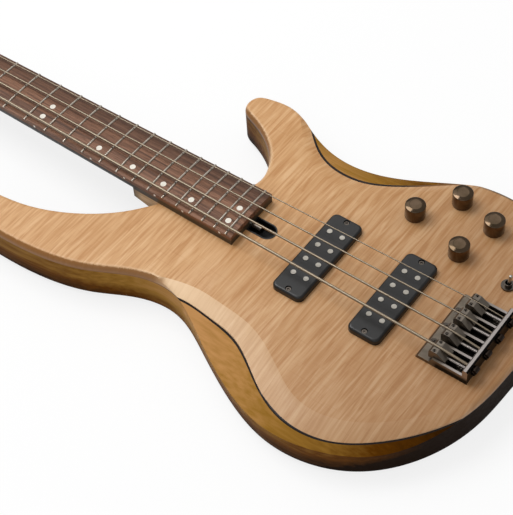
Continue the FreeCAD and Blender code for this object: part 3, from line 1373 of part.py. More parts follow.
def string_path(index):
    """Edges of a string's route: ball end, saddle, nut and the turns on its post."""
    name = STRING_NAMES[index]
    diameter = STRING_DIAMETERS[index]
    radius = POST_RADIUS + MOVING_CLEARANCE + diameter / 2
    pitch = diameter + WINDING_GAP
    entry_z = HEAD_TOP + WINDING_RISE + pitch * WINDING_TURNS + diameter / 2
    ball = string_ball(index)
    kink = string_kink(index)
    leave = string_point(index, NUT_BACK - STRING_EASE)
    x, y = post_point(name)
    side = outward(name)
    flat = V(x, y, 0) - V(leave.x, leave.y, 0)
    bearing = math.atan2(flat.y, flat.x)
    offset = math.asin(radius / flat.Length)
    heading = bearing - side * offset
    start_angle = heading - side * math.pi / 2
    touch = V(x + radius * math.cos(start_angle), y + radius * math.sin(start_angle), entry_z)
    edges = rounded_run([ball, kink, leave, touch], STRING_EASE)
    knots = winding_knots(name, radius, entry_z, pitch, side, start_angle)
    knots[0] = (touch, (touch - leave).normalize())
    for (p0, t0), (p1, t1) in zip(knots[:-1], knots[1:]):
        edges += biarc(p0, t0, p1, t1)
    return edges


def least_gap(edges, diameter):
    """Least gap of a winding to itself, measured on points one turn or more apart."""
    points = [p for edge in edges for p in edge.discretize(9)[:-1]]
    apart = len(points) // int(WINDING_TURNS * 2)
    return min((a - b).Length for i, a in enumerate(points) for b in points[i + apart:]) - diameter


def string(index):
    """One string: its ball end and an unbroken tube to the last turn on its post."""
    diameter = STRING_DIAMETERS[index]
    edges = string_path(index)
    wire = Part.Wire(edges)
    start = edges[0].valueAt(edges[0].FirstParameter)
    along = edges[0].tangentAt(edges[0].FirstParameter)
    section = Part.Wire(Part.makeCircle(diameter / 2, start, along))
    tube = wire.makePipeShell([section], True, False)
    turns = edges[-int(WINDING_TURNS * 8):]
    expected = math.pi * diameter ** 2 / 4 * wire.Length
    print("string", STRING_NAMES[index], "length", round(wire.Length, 1),
          "volume share", round(tube.Volume / expected, 4),
          "least gap", round(least_gap(turns, diameter), 3))
    ball_end = start - Y_AXIS * (BALL_LENGTH / 2) + X_AXIS * FACE_CLEARANCE
    return tube.fuse(rod(BALL_RADIUS, ball_end, Y_AXIS, BALL_LENGTH))


def build():
    """Every piece of the bass by its node's name."""
    pieces = body_layers()
    pieces["neck"] = neck()
    pieces["fretboard"] = fretboard()
    pieces["frets"] = Part.makeCompound([fret(n) for n in range(1, FRET_COUNT + 1)])
    pieces["inlay_dots"] = inlay_dots()
    pieces["nut"] = nut()
    pieces["neck_screws"] = neck_screws()
    pieces["neck_ferrules"] = neck_ferrules()
    pieces["truss_rod"] = truss_rod()
    pieces["truss_rod_nut"] = truss_rod_nut()
    pieces["truss_rod_cup"] = truss_rod_cup()
    for place, x in PICKUP_CENTRES:
        pieces[place + "_pickup_cover"] = pickup_cover(x)
    pieces["pickup_coils"] = pickup_coils()
    pieces["pickup_poles"] = pickup_poles()
    pieces["potentiometers"] = potentiometers()
    for use, x, y in KNOB_PLACES:
        pieces["knob_" + use] = knob(x, y)
    pieces["toggle_body"] = toggle_body()
    pieces["toggle_lever"] = toggle_lever()
    pieces["preamp_board"] = preamp_board()
    pieces["control_cover"] = control_cover()
    pieces["output_jack"] = output_jack()
    pieces["battery_box"] = battery_box()
    pieces["battery"] = battery()
    pieces["battery_cover"] = battery_cover()
    pieces["small_screws"] = small_screws()
    pieces["strap_buttons"] = strap_buttons()
    pieces["bridge_base"] = bridge_base()
    pieces["bridge_screws"] = bridge_screws()
    pieces["tuner_housings"] = Part.makeCompound([tuner_housing(n) for n in STRING_NAMES])
    pieces["tuner_bushings"] = Part.makeCompound([tuner_bushing(n) for n in STRING_NAMES])
    for index, name in enumerate(STRING_NAMES):
        pieces["saddle_" + name] = saddle(index)
        pieces["height_screws_" + name] = height_screws(index)
        pieces["intonation_screw_" + name] = intonation_screw(index)
        pieces["tuner_post_" + name] = tuner_post(name)
        pieces["tuner_key_" + name] = tuner_key(name)
        pieces["string_" + name] = string(index)
    return pieces


os.makedirs("parts", exist_ok=True)
for node, shape in build().items():
    solids = len(shape.Solids)
    print(node, "solids", solids, "volume", round(shape.Volume, 1), "valid", shape.isValid())
    shape.exportStep("parts/" + node + ".step")
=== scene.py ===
"""Looks of a four-string electric bass, dressed over its packed construction.

Places are in metres in the construction's frame, and in millimetres inside the finishes and wherever a
name ends in mm. The origin is on the flat back of the body, under the saddle line on the centre line.
+X runs to the tail, +Y to the treble side and +Z out of the face.
"""

import json
import logging
import math
from dataclasses import dataclass
from enum import Enum
from typing import Any, Sequence

import bmesh
import bpy
from mathutils import Matrix, Vector


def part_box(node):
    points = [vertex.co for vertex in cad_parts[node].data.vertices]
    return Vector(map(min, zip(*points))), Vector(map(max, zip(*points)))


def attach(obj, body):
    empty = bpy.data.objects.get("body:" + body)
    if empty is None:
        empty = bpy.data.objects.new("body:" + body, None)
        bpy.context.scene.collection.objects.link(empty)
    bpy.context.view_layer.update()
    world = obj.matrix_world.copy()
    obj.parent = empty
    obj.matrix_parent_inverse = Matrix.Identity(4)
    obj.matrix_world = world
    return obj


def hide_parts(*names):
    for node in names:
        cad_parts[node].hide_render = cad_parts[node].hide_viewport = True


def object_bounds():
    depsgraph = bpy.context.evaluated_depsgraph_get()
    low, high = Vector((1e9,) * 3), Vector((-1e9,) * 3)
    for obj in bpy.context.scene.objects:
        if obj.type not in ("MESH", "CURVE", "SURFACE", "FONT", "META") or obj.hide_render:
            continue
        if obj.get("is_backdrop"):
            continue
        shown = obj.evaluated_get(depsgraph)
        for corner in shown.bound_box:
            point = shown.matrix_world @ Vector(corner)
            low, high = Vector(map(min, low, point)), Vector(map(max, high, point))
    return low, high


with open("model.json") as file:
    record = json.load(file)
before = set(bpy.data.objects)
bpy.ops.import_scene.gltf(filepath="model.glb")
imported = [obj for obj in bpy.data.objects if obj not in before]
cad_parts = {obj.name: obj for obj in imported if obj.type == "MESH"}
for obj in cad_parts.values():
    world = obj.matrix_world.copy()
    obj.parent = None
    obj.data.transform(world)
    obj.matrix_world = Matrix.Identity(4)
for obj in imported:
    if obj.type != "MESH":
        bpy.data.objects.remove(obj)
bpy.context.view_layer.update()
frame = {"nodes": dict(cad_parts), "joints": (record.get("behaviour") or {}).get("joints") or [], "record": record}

LOG = logging.getLogger("bass")
MM = 0.001
UP = (0.0, 0.0, 1.0)
DOWN = (0.0, 0.0, -1.0)
WHITE = "#FFFFFF"
# How far a face may lie from a height, and how close two doubles lie.
HAIR = 1e-5
WELD = 1e-6
# Cosine above which a face counts as looking one way.
FACING = 0.9
# Edges flatter than this are shaded smoothly, with large faces ruling the normals.
SOFT_EDGE = math.radians(32)
LARGE_FACES = 100
RECORD = frame["record"]
BODY_OF = {node: body for body, nodes in RECORD["behaviour"]["bodies"].items() for node in nodes}
JOINT_PLACES = {joint["name"]: Vector(joint["pos_m"]) for joint in frame["joints"] if "pos_m" in joint}

Node = bpy.types.Node
Socket = bpy.types.NodeSocket
Tree = bpy.types.NodeTree
Point = tuple[float, float, float]
Range = tuple[float, float]


class Control(Enum):
    """What each knob sets."""

    VOLUME = "volume"
    BLEND = "blend"
    TREBLE = "treble"
    BASS = "bass"


class Course(Enum):
    """The strings, from the lowest."""

    E = "e"
    A = "a"
    D = "d"
    G = "g"


def linear(colour: str) -> tuple[float, float, float, float]:
    """Turns an sRGB hex colour into linear light.

    Args:
        colour: six hex digits after a hash sign.

    Returns:
        Red, green, blue and a full alpha.
    """
    parts = [int(colour[i:i + 2], 16) / 255 for i in (1, 3, 5)]
    light = [p / 12.92 if p <= 0.04045 else ((p + 0.055) / 1.055) ** 2.4 for p in parts]
    return light[0], light[1], light[2], 1.0


def add_node(tree: Tree, kind: str, inputs: dict[Any, Any] | None = None,
             stops: Sequence[tuple[float, str]] = (), **settings: Any) -> Node:
    """Adds one node with its settings, constants and links.

    Args:
        tree: the node tree that takes the node.
        kind: the node's type name without its ShaderNode prefix.
        inputs: sockets in use by name or number, each with a constant or the socket or node that feeds it.
        stops: places and hex colours of a colour ramp, in order.
        settings: the node's own properties.

    Returns:
        The new node.
    """
    node = tree.nodes.new("ShaderNode" + kind)
    for name, value in settings.items():
        setattr(node, name, value)
    for key, value in (inputs or {}).items():
        taken = node.inputs[key] if isinstance(key, int) else next(
            socket for socket in node.inputs if socket.enabled and socket.name == key)
        if isinstance(value, Node):
            value = next(socket for socket in value.outputs if socket.enabled)
        if isinstance(value, Socket):
            tree.links.new(value, taken)
        else:
            taken.default_value = value
    for index, (spot, colour) in enumerate(stops):
        elements = node.color_ramp.elements
        element = elements[index] if index < len(elements) else elements.new(spot)
        element.position = spot
        element.color = linear(colour)
    return node


def per_mm(*sizes: float) -> Point:
    """Scale that makes one pattern cycle as long as each size in millimetres, along X, Y and Z."""
    return tuple(1 / size for size in sizes)


@dataclass(frozen=True)
class Pattern:
    """Soft noise whose blotches have a real size in millimetres along X, Y and Z."""

    size_mm: Point
    detail: float = 3.0
    turn: float = 0.0
    wander: float = 0.0


@dataclass(frozen=True)
class Shade:
    """A share that grows from its least as a value runs from the start to where the share is full."""

    start: float
    full: float
    share: float = 1.0
    least: float = 0.0

    def sockets(self) -> dict[str, float]:
        """The range and the shares by the names of the sockets that take them."""
        return {"From Min": self.start, "From Max": self.full, "To Min": self.least, "To Max": self.share}


@dataclass(frozen=True)
class Touch:
    """Values of a pattern between which the gloss changes, and the depth and share of the relief."""

    span: Range
    relief_mm: float
    relief_share: float


@dataclass(frozen=True)
class Canvas:
    """A material's node tree, with the place in the construction's frame in millimetres and the noise."""

    tree: Tree
    place: Node
    noise: dict[str, Node]

    def lay(self, tone: Any, colour: str, value: Any, shade: Shade, most: Node | None = None,
            blend: str = "MIX") -> Node:
        """Lays a colour over a tone, more and more as a value runs through a range.

        Args:
            tone: the colour below, or the node that gives it.
            colour: the hex colour on top.
            value: the node or socket that the share follows.
            shade: the range, and the share at its end.
            most: a node that gives the share at the range's end instead.
            blend: how the colours mix.

        Returns:
            The node with the mixed colour.
        """
        full = shade.share if most is None else most
        share = add_node(self.tree, "MapRange", {"Value": value, **shade.sockets(), "To Max": full})
        return add_node(self.tree, "Mix", {"Factor": share, "A": tone, "B": linear(colour)},
                        data_type="RGBA", blend_type=blend)

    def feel(self, touch: Touch, roughness: Range, worn_by: Node | Socket,
             raised_by: Node | Socket) -> dict[str, Node]:
        """Breaks up a surface's gloss and relief.

        Args:
            touch: how the patterns act.
            roughness: roughness at both ends of the touch's span.
            worn_by: the pattern that changes the gloss.
            raised_by: the pattern that gives the relief.

        Returns:
            What the principled shader's roughness and normal take.
        """
        gloss = add_node(self.tree, "MapRange", {"Value": worn_by, "From Min": touch.span[0],
                                                 "From Max": touch.span[1], "To Min": roughness[0],
                                                 "To Max": roughness[1]})
        relief = add_node(self.tree, "Bump", {"Height": raised_by, "Distance": touch.relief_mm * MM,
                                              "Strength": touch.relief_share})
        return {"Roughness": gloss, "Normal": relief}


@dataclass(frozen=True)
class Finish:
    """A named material on one principled surface, driven by the construction's own coordinates."""

    name: str

    def patterns(self) -> dict[str, Pattern]:
        """The noise patterns that the surface is made from, by name."""
        return {}

    def surface(self, canvas: Canvas) -> dict[str, Any]:
        """Adds the finish's own nodes.

        Args:
            canvas: the material's tree, with the place and the noise.

        Returns:
            What the principled shader's sockets take.
        """
        raise NotImplementedError

    def material(self) -> bpy.types.Material:
        """Makes the material the first time and returns the same one afterwards."""
        made = bpy.data.materials.get(self.name)
        if made is None:
            made = bpy.data.materials.new(self.name)
            made.use_nodes = True
            tree = made.node_tree
            tree.nodes.clear()
            metres = add_node(tree, "TexCoord").outputs["Object"]
            place = add_node(tree, "Mapping", {"Vector": metres, "Scale": (1 / MM,) * 3})
            noise = {}
            for key, pattern in self.patterns().items():
                turned = add_node(tree, "Mapping", {"Vector": place, "Rotation": (0.0, 0.0, pattern.turn)})
                scaled = add_node(tree, "Mapping", {"Vector": turned, "Scale": per_mm(*pattern.size_mm)})
                noise[key] = add_node(tree, "TexNoise", {
                    "Vector": scaled, "Scale": 1.0, "Detail": pattern.detail, "Distortion": pattern.wander})
            shader = add_node(tree, "BsdfPrincipled", self.surface(Canvas(tree, place, noise)))
            add_node(tree, "OutputMaterial", {"Surface": shader})
        return made


@dataclass(frozen=True)
class FlamedMaple(Finish):
    """Satin-lacquered flamed maple: soft bars across the grain and fine pores along it.

    Its edge takes painted light where it leans to the bass side under the forearm, is stained along the bass horn
    and takes painted shade where it leans to the treble side.
    """

    light: str = "#DCB182"
    middle: str = "#CF9F6D"
    dark: str = "#BF8B58"
    amber: str = "#BA844D"
    # Painted light on the edge that leans to the bass side under the forearm.
    forearm_light: str = "#EBCBA3"
    # Painted shade on the edge that leans to the treble side, away from the lamps.
    treble_rim_shade: str = "#4E3D2A"
    stain: str = "#80511E"
    # Painted shade towards the tail, multiplied over the wood.
    tail_shade: str = "#D5D2D4"
    slant: float = 0.01
    wander: float = 0.6
    bar_mm: float = 3.0
    bar_reach_mm: float = 42.0
    bar_stops: Point = (0.32, 0.5, 0.68)
    band_mm: float = 17.0
    band_reach_mm: float = 140.0
    bands: Shade = Shade(0.46, 0.74, 0.4)
    pore_mm: float = 1.3
    pore_reach_mm: float = 45.0
    pores: Shade = Shade(0.58, 0.75, 0.12)
    # Ranges for the painted light under the forearm, the stain at the horn, and the painted shade on the treble
    # edge and towards the tail.
    forearm_light_rise: Shade = Shade(-340.0, -230.0, 0.75, 0.1)
    forearm_light_fade: Shade = Shade(-150.0, -50.0, 0.18)
    forearm_light_lean: Shade = Shade(-0.06, -0.4)
    stain_reach: Shade = Shade(-215.0, -245.0, 0.9)
    stain_lean: Shade = Shade(-0.3, -0.55)
    treble_rim_shade_reach: Shade = Shade(-75.0, -50.0, 0.85)
    treble_rim_shade_lean: Shade = Shade(0.03, 0.4)
    tail_shade_reach: Shade = Shade(-215.0, 15.0)
    roughness: Range = (0.44, 0.36)
    touch: Touch = Touch((0.3, 0.7), 0.04, 0.3)
    specular: float = 0.3

    def patterns(self) -> dict[str, Pattern]:
        """Narrow bars, broad bands of darker wood and pores."""
        bar = (self.bar_mm, self.bar_reach_mm, self.bar_reach_mm)
        band = (self.band_mm, self.band_reach_mm, self.band_reach_mm)
        return {"bars": Pattern(bar, detail=2.0, turn=self.slant, wander=self.wander),
                "bands": Pattern(band, turn=self.slant, wander=self.wander),
                "pores": Pattern((self.pore_reach_mm, self.pore_mm, self.pore_mm), detail=2.0)}

    def surface(self, canvas: Canvas) -> dict[str, Any]:
        """Lays the bands and the pores over the bars, then the painted light and shade on the edges, the stain at
        the horn and the painted shade towards the tail.
        """
        tree, noise = canvas.tree, canvas.noise
        along = add_node(tree, "SeparateXYZ", {"Vector": canvas.place}).outputs["X"]
        sides = add_node(tree, "NewGeometry").outputs
        tone = add_node(tree, "ValToRGB", {"Fac": noise["bars"]},
                        tuple(zip(self.bar_stops, (self.dark, self.middle, self.light))))
        tone = canvas.lay(tone, self.amber, noise["bands"], self.bands)
        tone = canvas.lay(tone, self.dark, noise["pores"], self.pores, blend="MULTIPLY")
        rise = add_node(tree, "MapRange", {"Value": along, **self.forearm_light_rise.sockets()})
        # Painted light on faces leaning to the bass side, stain at the horn, painted shade on faces leaning to the
        # treble side.
        for colour, facing, lean, reach, least in (
                (self.forearm_light, "True Normal", self.forearm_light_lean, self.forearm_light_fade, rise),
                (self.stain, "Normal", self.stain_lean, self.stain_reach, 0.0),
                (self.treble_rim_shade, "Normal", self.treble_rim_shade_lean, self.treble_rim_shade_reach, 0.0)):
            most = add_node(tree, "MapRange", {"Value": along, **reach.sockets(), "To Min": least})
            across = add_node(tree, "SeparateXYZ", {"Vector": sides[facing]}).outputs["Y"]
            tone = canvas.lay(tone, colour, across, lean, most)
        # Painted shade towards the tail.
        tone = canvas.lay(tone, self.tail_shade, along, self.tail_shade_reach, blend="MULTIPLY")
        return {"Base Color": tone, "Specular IOR Level": self.specular,
                **canvas.feel(self.touch, self.roughness, noise["bars"], noise["pores"])}


@dataclass(frozen=True)
class StainedCore(Finish):
    """Core wood in amber stain, darkened to brown and black: painted shade on upright walls, low down, on the
    bottom edge and on the treble side; stain and painted shade towards the tail; darker towards the horns.
    """

    amber: str = "#C18E58"
    olive: str = "#946B2B"
    brown: str = "#5E3607"
    black: str = "#1A0D04"
    sheen: str = "#B5772C"
    stops: tuple[float, ...] = (0.0, 0.32, 0.62, 0.98)
    streak_mm: float = 3.5
    streak_reach_mm: float = 70.0
    grain: Shade = Shade(0.3, 0.7, 0.5, -0.5)
    contrast_lean: Shade = Shade(0.35, 0.8, 0.03, 0.16)
    # Painted shade on upright walls, low down towards the back and on the bottom edge.
    wall_shade_lean: Shade = Shade(0.6, 0.1, 0.18)
    low: Shade = Shade(24.0, 8.0, 0.4)
    edge: Shade = Shade(4.5, 1.5, 0.35)
    # Darker towards the tail, partly stain and partly painted shade, and darker towards the horns.
    tail_shade: Shade = Shade(-200.0, 40.0, 0.58)
    horn: Shade = Shade(-215.0, -330.0, 0.3)
    end: Shade = Shade(-20.0, 60.0, 0.35)
    # Painted shade on the treble side.
    treble: Shade = Shade(70.0, 125.0, 0.3)
    roughness: Range = (0.42, 0.52)
    touch: Touch = Touch((0.3, 0.7), 0.05, 0.25)
    specular: float = 0.04

    def patterns(self) -> dict[str, Pattern]:
        """Streaks of grain along the body."""
        return {"streaks": Pattern((self.streak_reach_mm, self.streak_mm, self.streak_mm))}

    def surface(self, canvas: Canvas) -> dict[str, Any]:
        """Darkens the stain with painted shade on upright walls, low down, on the bottom edge and on the treble
        side, and towards both ends, over the grain.
        """
        tree, streaks = canvas.tree, canvas.noise["streaks"]
        spot = add_node(tree, "SeparateXYZ", {"Vector": canvas.place}).outputs
        facing = add_node(tree, "NewGeometry").outputs["Normal"]
        lean = add_node(tree, "SeparateXYZ", {"Vector": facing}).outputs
        ends = add_node(tree, "Math", {0: lean["X"]}, operation="ABSOLUTE")
        contrast = add_node(tree, "MapRange", {"Value": ends, **self.contrast_lean.sockets()})
        grain = add_node(tree, "MapRange", {"Value": streaks, **self.grain.sockets()})
        dark = add_node(tree, "Math", {0: grain, 1: contrast}, operation="MULTIPLY")
        # Each term adds darkness to the grain: painted shade on walls, low down, on the bottom edge and on the
        # treble side, and stain with painted shade towards the ends.
        for value, shade in ((lean["Z"], self.wall_shade_lean), (spot["Z"], self.low), (spot["Z"], self.edge),
                             (spot["X"], self.tail_shade), (spot["X"], self.horn), (spot["X"], self.end),
                             (spot["Y"], self.treble)):
            part = add_node(tree, "MapRange", {"Value": value, **shade.sockets()})
            dark = add_node(tree, "Math", {0: dark, 1: part}, operation="ADD")
        stain = add_node(tree, "ValToRGB", {"Fac": dark},
                         tuple(zip(self.stops, (self.amber, self.olive, self.brown, self.black))))
        return {"Base Color": stain, "Specular IOR Level": self.specular, "Specular Tint": linear(self.sheen),
                **canvas.feel(self.touch, self.roughness, streaks, streaks)}


@dataclass(frozen=True)
class FineWood(Finish):
    """Open-grained wood: streaks along the neck with short dark pores, rubbed to a satin."""

    light: str
    middle: str
    dark: str
    stops: Point = (0.32, 0.5, 0.7)
    streak_mm: float = 2.6
    streak_reach_mm: float = 90.0
    wander: float = 0.4
    pore_mm: float = 0.6
    pore_reach_mm: float = 9.0
    pores: Shade = Shade(0.56, 0.68, 0.75)
    roughness: Range = (0.38, 0.52)
    touch: Touch = Touch((0.4, 0.68), -0.06, 0.4)
    specular: float = 0.28

    def patterns(self) -> dict[str, Pattern]:
        """Long streaks and short pores."""
        streak = (self.streak_reach_mm, self.streak_mm, self.streak_mm)
        return {"streaks": Pattern(streak, detail=4.0, wander=self.wander),
                "pores": Pattern((self.pore_reach_mm, self.pore_mm, self.pore_mm), detail=1.0)}

    def surface(self, canvas: Canvas) -> dict[str, Any]:
        """Lays the pores over the streaks."""
        streaks, pores = canvas.noise["streaks"], canvas.noise["pores"]
        tone = add_node(canvas.tree, "ValToRGB", {"Fac": streaks},
                        tuple(zip(self.stops, (self.dark, self.middle, self.light))))
        return {"Base Color": canvas.lay(tone, self.dark, pores, self.pores),
                "Specular IOR Level": self.specular, **canvas.feel(self.touch, self.roughness, pores, pores)}


@dataclass(frozen=True)
class FadingVeneer(FineWood):
    """Dyed veneer whose dark line fades to brown where the treble scoop runs out and along the bass horn."""

    faded: str = "#7C5328"
    scoop: Shade = Shade(-125.0, -100.0)
    treble_side: Shade = Shade(60.0, 80.0)
    horn: Shade = Shade(-215.0, -240.0)
    bass_side: Shade = Shade(-20.0, -40.0)

    def surface(self, canvas: Canvas) -> dict[str, Any]:
        """Fades the plain veneer along the body on each side."""
        made = super().surface(canvas)
        spot = add_node(canvas.tree, "SeparateXYZ", {"Vector": canvas.place}).outputs
        for reach, side in ((self.scoop, self.treble_side), (self.horn, self.bass_side)):
            along = add_node(canvas.tree, "MapRange", {"Value": spot["X"], **reach.sockets()})
            made["Base Color"] = canvas.lay(made["Base Color"], self.faded, spot["Y"], side, along)
        return made


@dataclass(frozen=True)
class TrebleShadedWood(FineWood):
    """Open-grained wood with painted shade towards the treble edge of the board, broken into patches by its
    streaks.
    """

    # Colour of the painted shade towards the treble edge.
    board_treble_shade: str = "#2E211C"
    board_treble_shade_side: Shade = Shade(2.0, 26.0, 1.1)

    def surface(self, canvas: Canvas) -> dict[str, Any]:
        """Lays the painted shade over the grain, in patches that follow the streaks."""
        made = super().surface(canvas)
        side = add_node(canvas.tree, "SeparateXYZ", {"Vector": canvas.place}).outputs["Y"]
        patchy = add_node(canvas.tree, "Math", {0: canvas.noise["streaks"], 1: self.board_treble_shade_side.share},
                          operation="MULTIPLY")
        tone = canvas.lay(made["Base Color"], self.board_treble_shade, side, self.board_treble_shade_side, patchy)
        return {**made, "Base Color": tone}


@dataclass(frozen=True)
class ShadedWood(FineWood):
    """Open-grained wood with painted shade, near black, on the back and along the sides, where the neck faces away
    from the lamps.

    At the heel, only the strip of the sides above the body's face takes it, as painted shadow under the fretboard.
    """

    # Colour of the painted shade on the back and sides.
    shade: str = "#120B07"
    # Painted shade on faces leaning down and on upright sides; at the heel, painted shadow in the strip just under
    # the fretboard.
    back_lean: Shade = Shade(-0.01, -0.1)
    side_lean: Shade = Shade(0.25, 0.05)
    heel: Shade = Shade(-314.0, -326.0)
    strip_shadow: Shade = Shade(43.5, 44.5, 0.92)

    def surface(self, canvas: Canvas) -> dict[str, Any]:
        """Lays the painted shade over the grain."""
        tree = canvas.tree
        made = super().surface(canvas)
        spot = add_node(tree, "SeparateXYZ", {"Vector": canvas.place}).outputs
        facing = add_node(tree, "NewGeometry").outputs["True Normal"]
        lean = add_node(tree, "SeparateXYZ", {"Vector": facing}).outputs["Z"]
        strip_shadow = add_node(tree, "MapRange", {"Value": spot["Z"], **self.strip_shadow.sockets()})
        most = add_node(tree, "MapRange", {"Value": spot["X"], **self.heel.sockets(), "To Min": strip_shadow})
        sides = add_node(tree, "MapRange", {"Value": lean, **self.side_lean.sockets(), "To Max": most})
        back = add_node(tree, "MapRange", {"Value": lean, **self.back_lean.sockets()})
        share = add_node(tree, "Math", {0: sides, 1: back}, operation="MAXIMUM")
        tone = add_node(tree, "Mix", {"Factor": share, "A": made["Base Color"], "B": linear(self.shade)},
                        data_type="RGBA")
        return {**made, "Base Color": tone}


@dataclass(frozen=True)
class PlatedMetal(Finish):
    """Plated or polished metal: a fine brushed haze and slight clouding break up its reflections."""

    colour: str
    haze: str
    roughness: Range = (0.2, 0.32)
    brush_mm: Point = (0.5, 14.0, 0.5)
    cloud_mm: float = 9.0
    clouds: Shade = Shade(0.35, 0.7)
    touch: Touch = Touch((0.7, 1.3), 0.01, 0.15)

    def patterns(self) -> dict[str, Pattern]:
        """Brush marks and clouds."""
        return {"brush": Pattern(self.brush_mm, detail=2.0), "cloud": Pattern((self.cloud_mm,) * 3)}

    def surface(self, canvas: Canvas) -> dict[str, Any]:
        """Varies tint and gloss by brush marks and clouds."""
        brush, cloud = canvas.noise["brush"], canvas.noise["cloud"]
        both = add_node(canvas.tree, "Math", {0: brush, 1: cloud}, operation="ADD")
        return {"Base Color": canvas.lay(linear(self.colour), self.haze, cloud, self.clouds), "Metallic": 1.0,
                **canvas.feel(self.touch, self.roughness, both, brush)}


@dataclass(frozen=True)
class TroughMetal(PlatedMetal):
    """Plated metal that is paler towards the tail, with painted shade on faces that lean to the rear and painted
    shadow deep in a stretch.
    """

    # Colour of the painted shadow deep in the stretch and of the painted shade on rear faces.
    trough_shadow: str = "#171412"
    paler_tone: str = "#ABA39F"
    paler_reach: Shade = Shade(4.0, 29.0)
    stretch: Shade = Shade(3.0, 7.0)
    depth: Shade = Shade(53.0, 48.5)
    rear_shade_lean: Shade = Shade(0.4, 0.7)

    def surface(self, canvas: Canvas) -> dict[str, Any]:
        """Lays the paler metal, then the painted shade and shadow, over the plain one."""
        tree = canvas.tree
        made = super().surface(canvas)
        spot = add_node(tree, "SeparateXYZ", {"Vector": canvas.place}).outputs
        tone = canvas.lay(made["Base Color"], self.paler_tone, spot["X"], self.paler_reach)
        stretch = add_node(tree, "MapRange", {"Value": spot["X"], **self.stretch.sockets()})
        trough = add_node(tree, "MapRange", {"Value": spot["Z"], **self.depth.sockets(), "To Max": stretch})
        facing = add_node(tree, "NewGeometry").outputs["Normal"]
        lean = add_node(tree, "SeparateXYZ", {"Vector": facing}).outputs["X"]
        rear = add_node(tree, "MapRange", {"Value": lean, **self.rear_shade_lean.sockets()})
        # Painted shadow in the trough and painted shade on faces leaning to the rear.
        share = add_node(tree, "Math", {0: trough, 1: rear}, operation="MAXIMUM")
        tone = add_node(tree, "Mix", {"Factor": share, "A": tone, "B": linear(self.trough_shadow)}, data_type="RGBA")
        return {**made, "Base Color": tone}


@dataclass(frozen=True)
class MouldedPlastic(Finish):
    """Moulded plastic: a fine spark-eroded grain that dulls its highlights."""

    colour: str
    worn: str
    roughness: Range = (0.38, 0.5)
    # Real mould grain is near 0.05 mm; it is drawn coarser so that it shows.
    grain_mm: float = 0.7
    cloud_mm: float = 14.0
    clouds: Shade = Shade(0.4, 0.75)
    touch: Touch = Touch((0.3, 0.7), 0.02, 0.3)
    refraction: float = 1.5

    def patterns(self) -> dict[str, Pattern]:
        """Mould grain and faint clouds."""
        return {"grain": Pattern((self.grain_mm,) * 3, detail=1.0), "cloud": Pattern((self.cloud_mm,) * 3)}

    def surface(self, canvas: Canvas) -> dict[str, Any]:
        """Mixes a faint cloud into the colour and grain into the gloss."""
        grain, cloud = canvas.noise["grain"], canvas.noise["cloud"]
        return {"Base Color": canvas.lay(linear(self.colour), self.worn, cloud, self.clouds),
                "IOR": self.refraction, **canvas.feel(self.touch, self.roughness, grain, grain)}


@dataclass(frozen=True)
class WoundString(Finish):
    """Round-wound nickel on a steel core: close ridges drawn as fine bars across the string, with painted shade in
    the grooves between them.
    """

    colour: str = "#A89A86"
    # Painted shade in the grooves between the windings.
    groove_shade: str = "#7C6F5F"
    # Brass ball end, darkened by painted shade where it sits behind the bridge's wall.
    ball: str = "#2E2621"
    ball_reach: Shade = Shade(33.0, 35.0)
    # Real wrap wire is about 0.4 mm; its pitch is drawn coarser so that it shows.
    wrap_mm: float = 1.0
    # The wave texture turns by this many radians over one unit.
    wave_rate: float = 20.0
    roughness: Range = (0.48, 0.36)
    touch: Touch = Touch((0.0, 1.0), 0.05, 0.35)

    def surface(self, canvas: Canvas) -> dict[str, Any]:
        """Draws the wrap as bands along the neck, with painted shade in the grooves, and the ball end in brass
        darkened by painted shade.
        """
        tree = canvas.tree
        turns = 2 * math.pi / (self.wave_rate * self.wrap_mm)
        mapped = add_node(tree, "Mapping", {"Vector": canvas.place, "Scale": (turns, 0.0, 0.0)})
        wrap = add_node(tree, "TexWave", {"Vector": mapped, "Scale": 1.0, "Distortion": 0.0},
                        wave_type="BANDS", bands_direction="X").outputs["Fac"]
        along = add_node(tree, "SeparateXYZ", {"Vector": canvas.place}).outputs["X"]
        tone = add_node(tree, "Mix", {"Factor": wrap, "A": linear(self.groove_shade), "B": linear(self.colour)},
                        data_type="RGBA")
        return {"Base Color": canvas.lay(tone, self.ball, along, self.ball_reach), "Metallic": 1.0,
                **canvas.feel(self.touch, self.roughness, wrap, wrap)}


@dataclass(frozen=True)
class PrintedBoard(Finish):
    """Glass-epoxy circuit board: green mask over straight copper tracks."""

    mask: str = "#1F4A2B"
    track: str = "#35713F"
    track_mm: Point = (9.0, 2.4, 9.0)
    roughness: float = 0.3
    relief_mm: float = 0.03
    relief_share: float = 0.5

    def surface(self, canvas: Canvas) -> dict[str, Any]:
        """Draws the tracks as blocks under the mask."""
        mapped = add_node(canvas.tree, "Mapping", {"Vector": canvas.place, "Scale": per_mm(*self.track_mm)})
        blocks = add_node(canvas.tree, "TexChecker", {"Vector": mapped, "Color1": linear(self.mask),
                                                      "Color2": linear(self.track), "Scale": 1.0})
        relief = add_node(canvas.tree, "Bump", {"Height": blocks.outputs["Fac"],
                                                "Distance": self.relief_mm * MM,
                                                "Strength": self.relief_share})
        return {"Base Color": blocks, "Roughness": self.roughness, "Normal": relief}


# Flamed maple under satin lacquer: warm tan bars that shift between light and dark across the grain.
MAPLE_TOP = FlamedMaple("flamed_maple_satin_lacquer")
# Amber-stained core: golden where the bevel bares it, brown to black with painted shade towards the back, and with
# stain and painted shade towards the tail.
CORE = StainedCore("amber_stained_core_wood")
# Dyed veneer: a thin near-black line between cap and core, brown at the scoop's end and the bass horn.
VENEER = FadingVeneer("dyed_black_veneer", "#2B1E17", "#1B120E", "#0E0907")
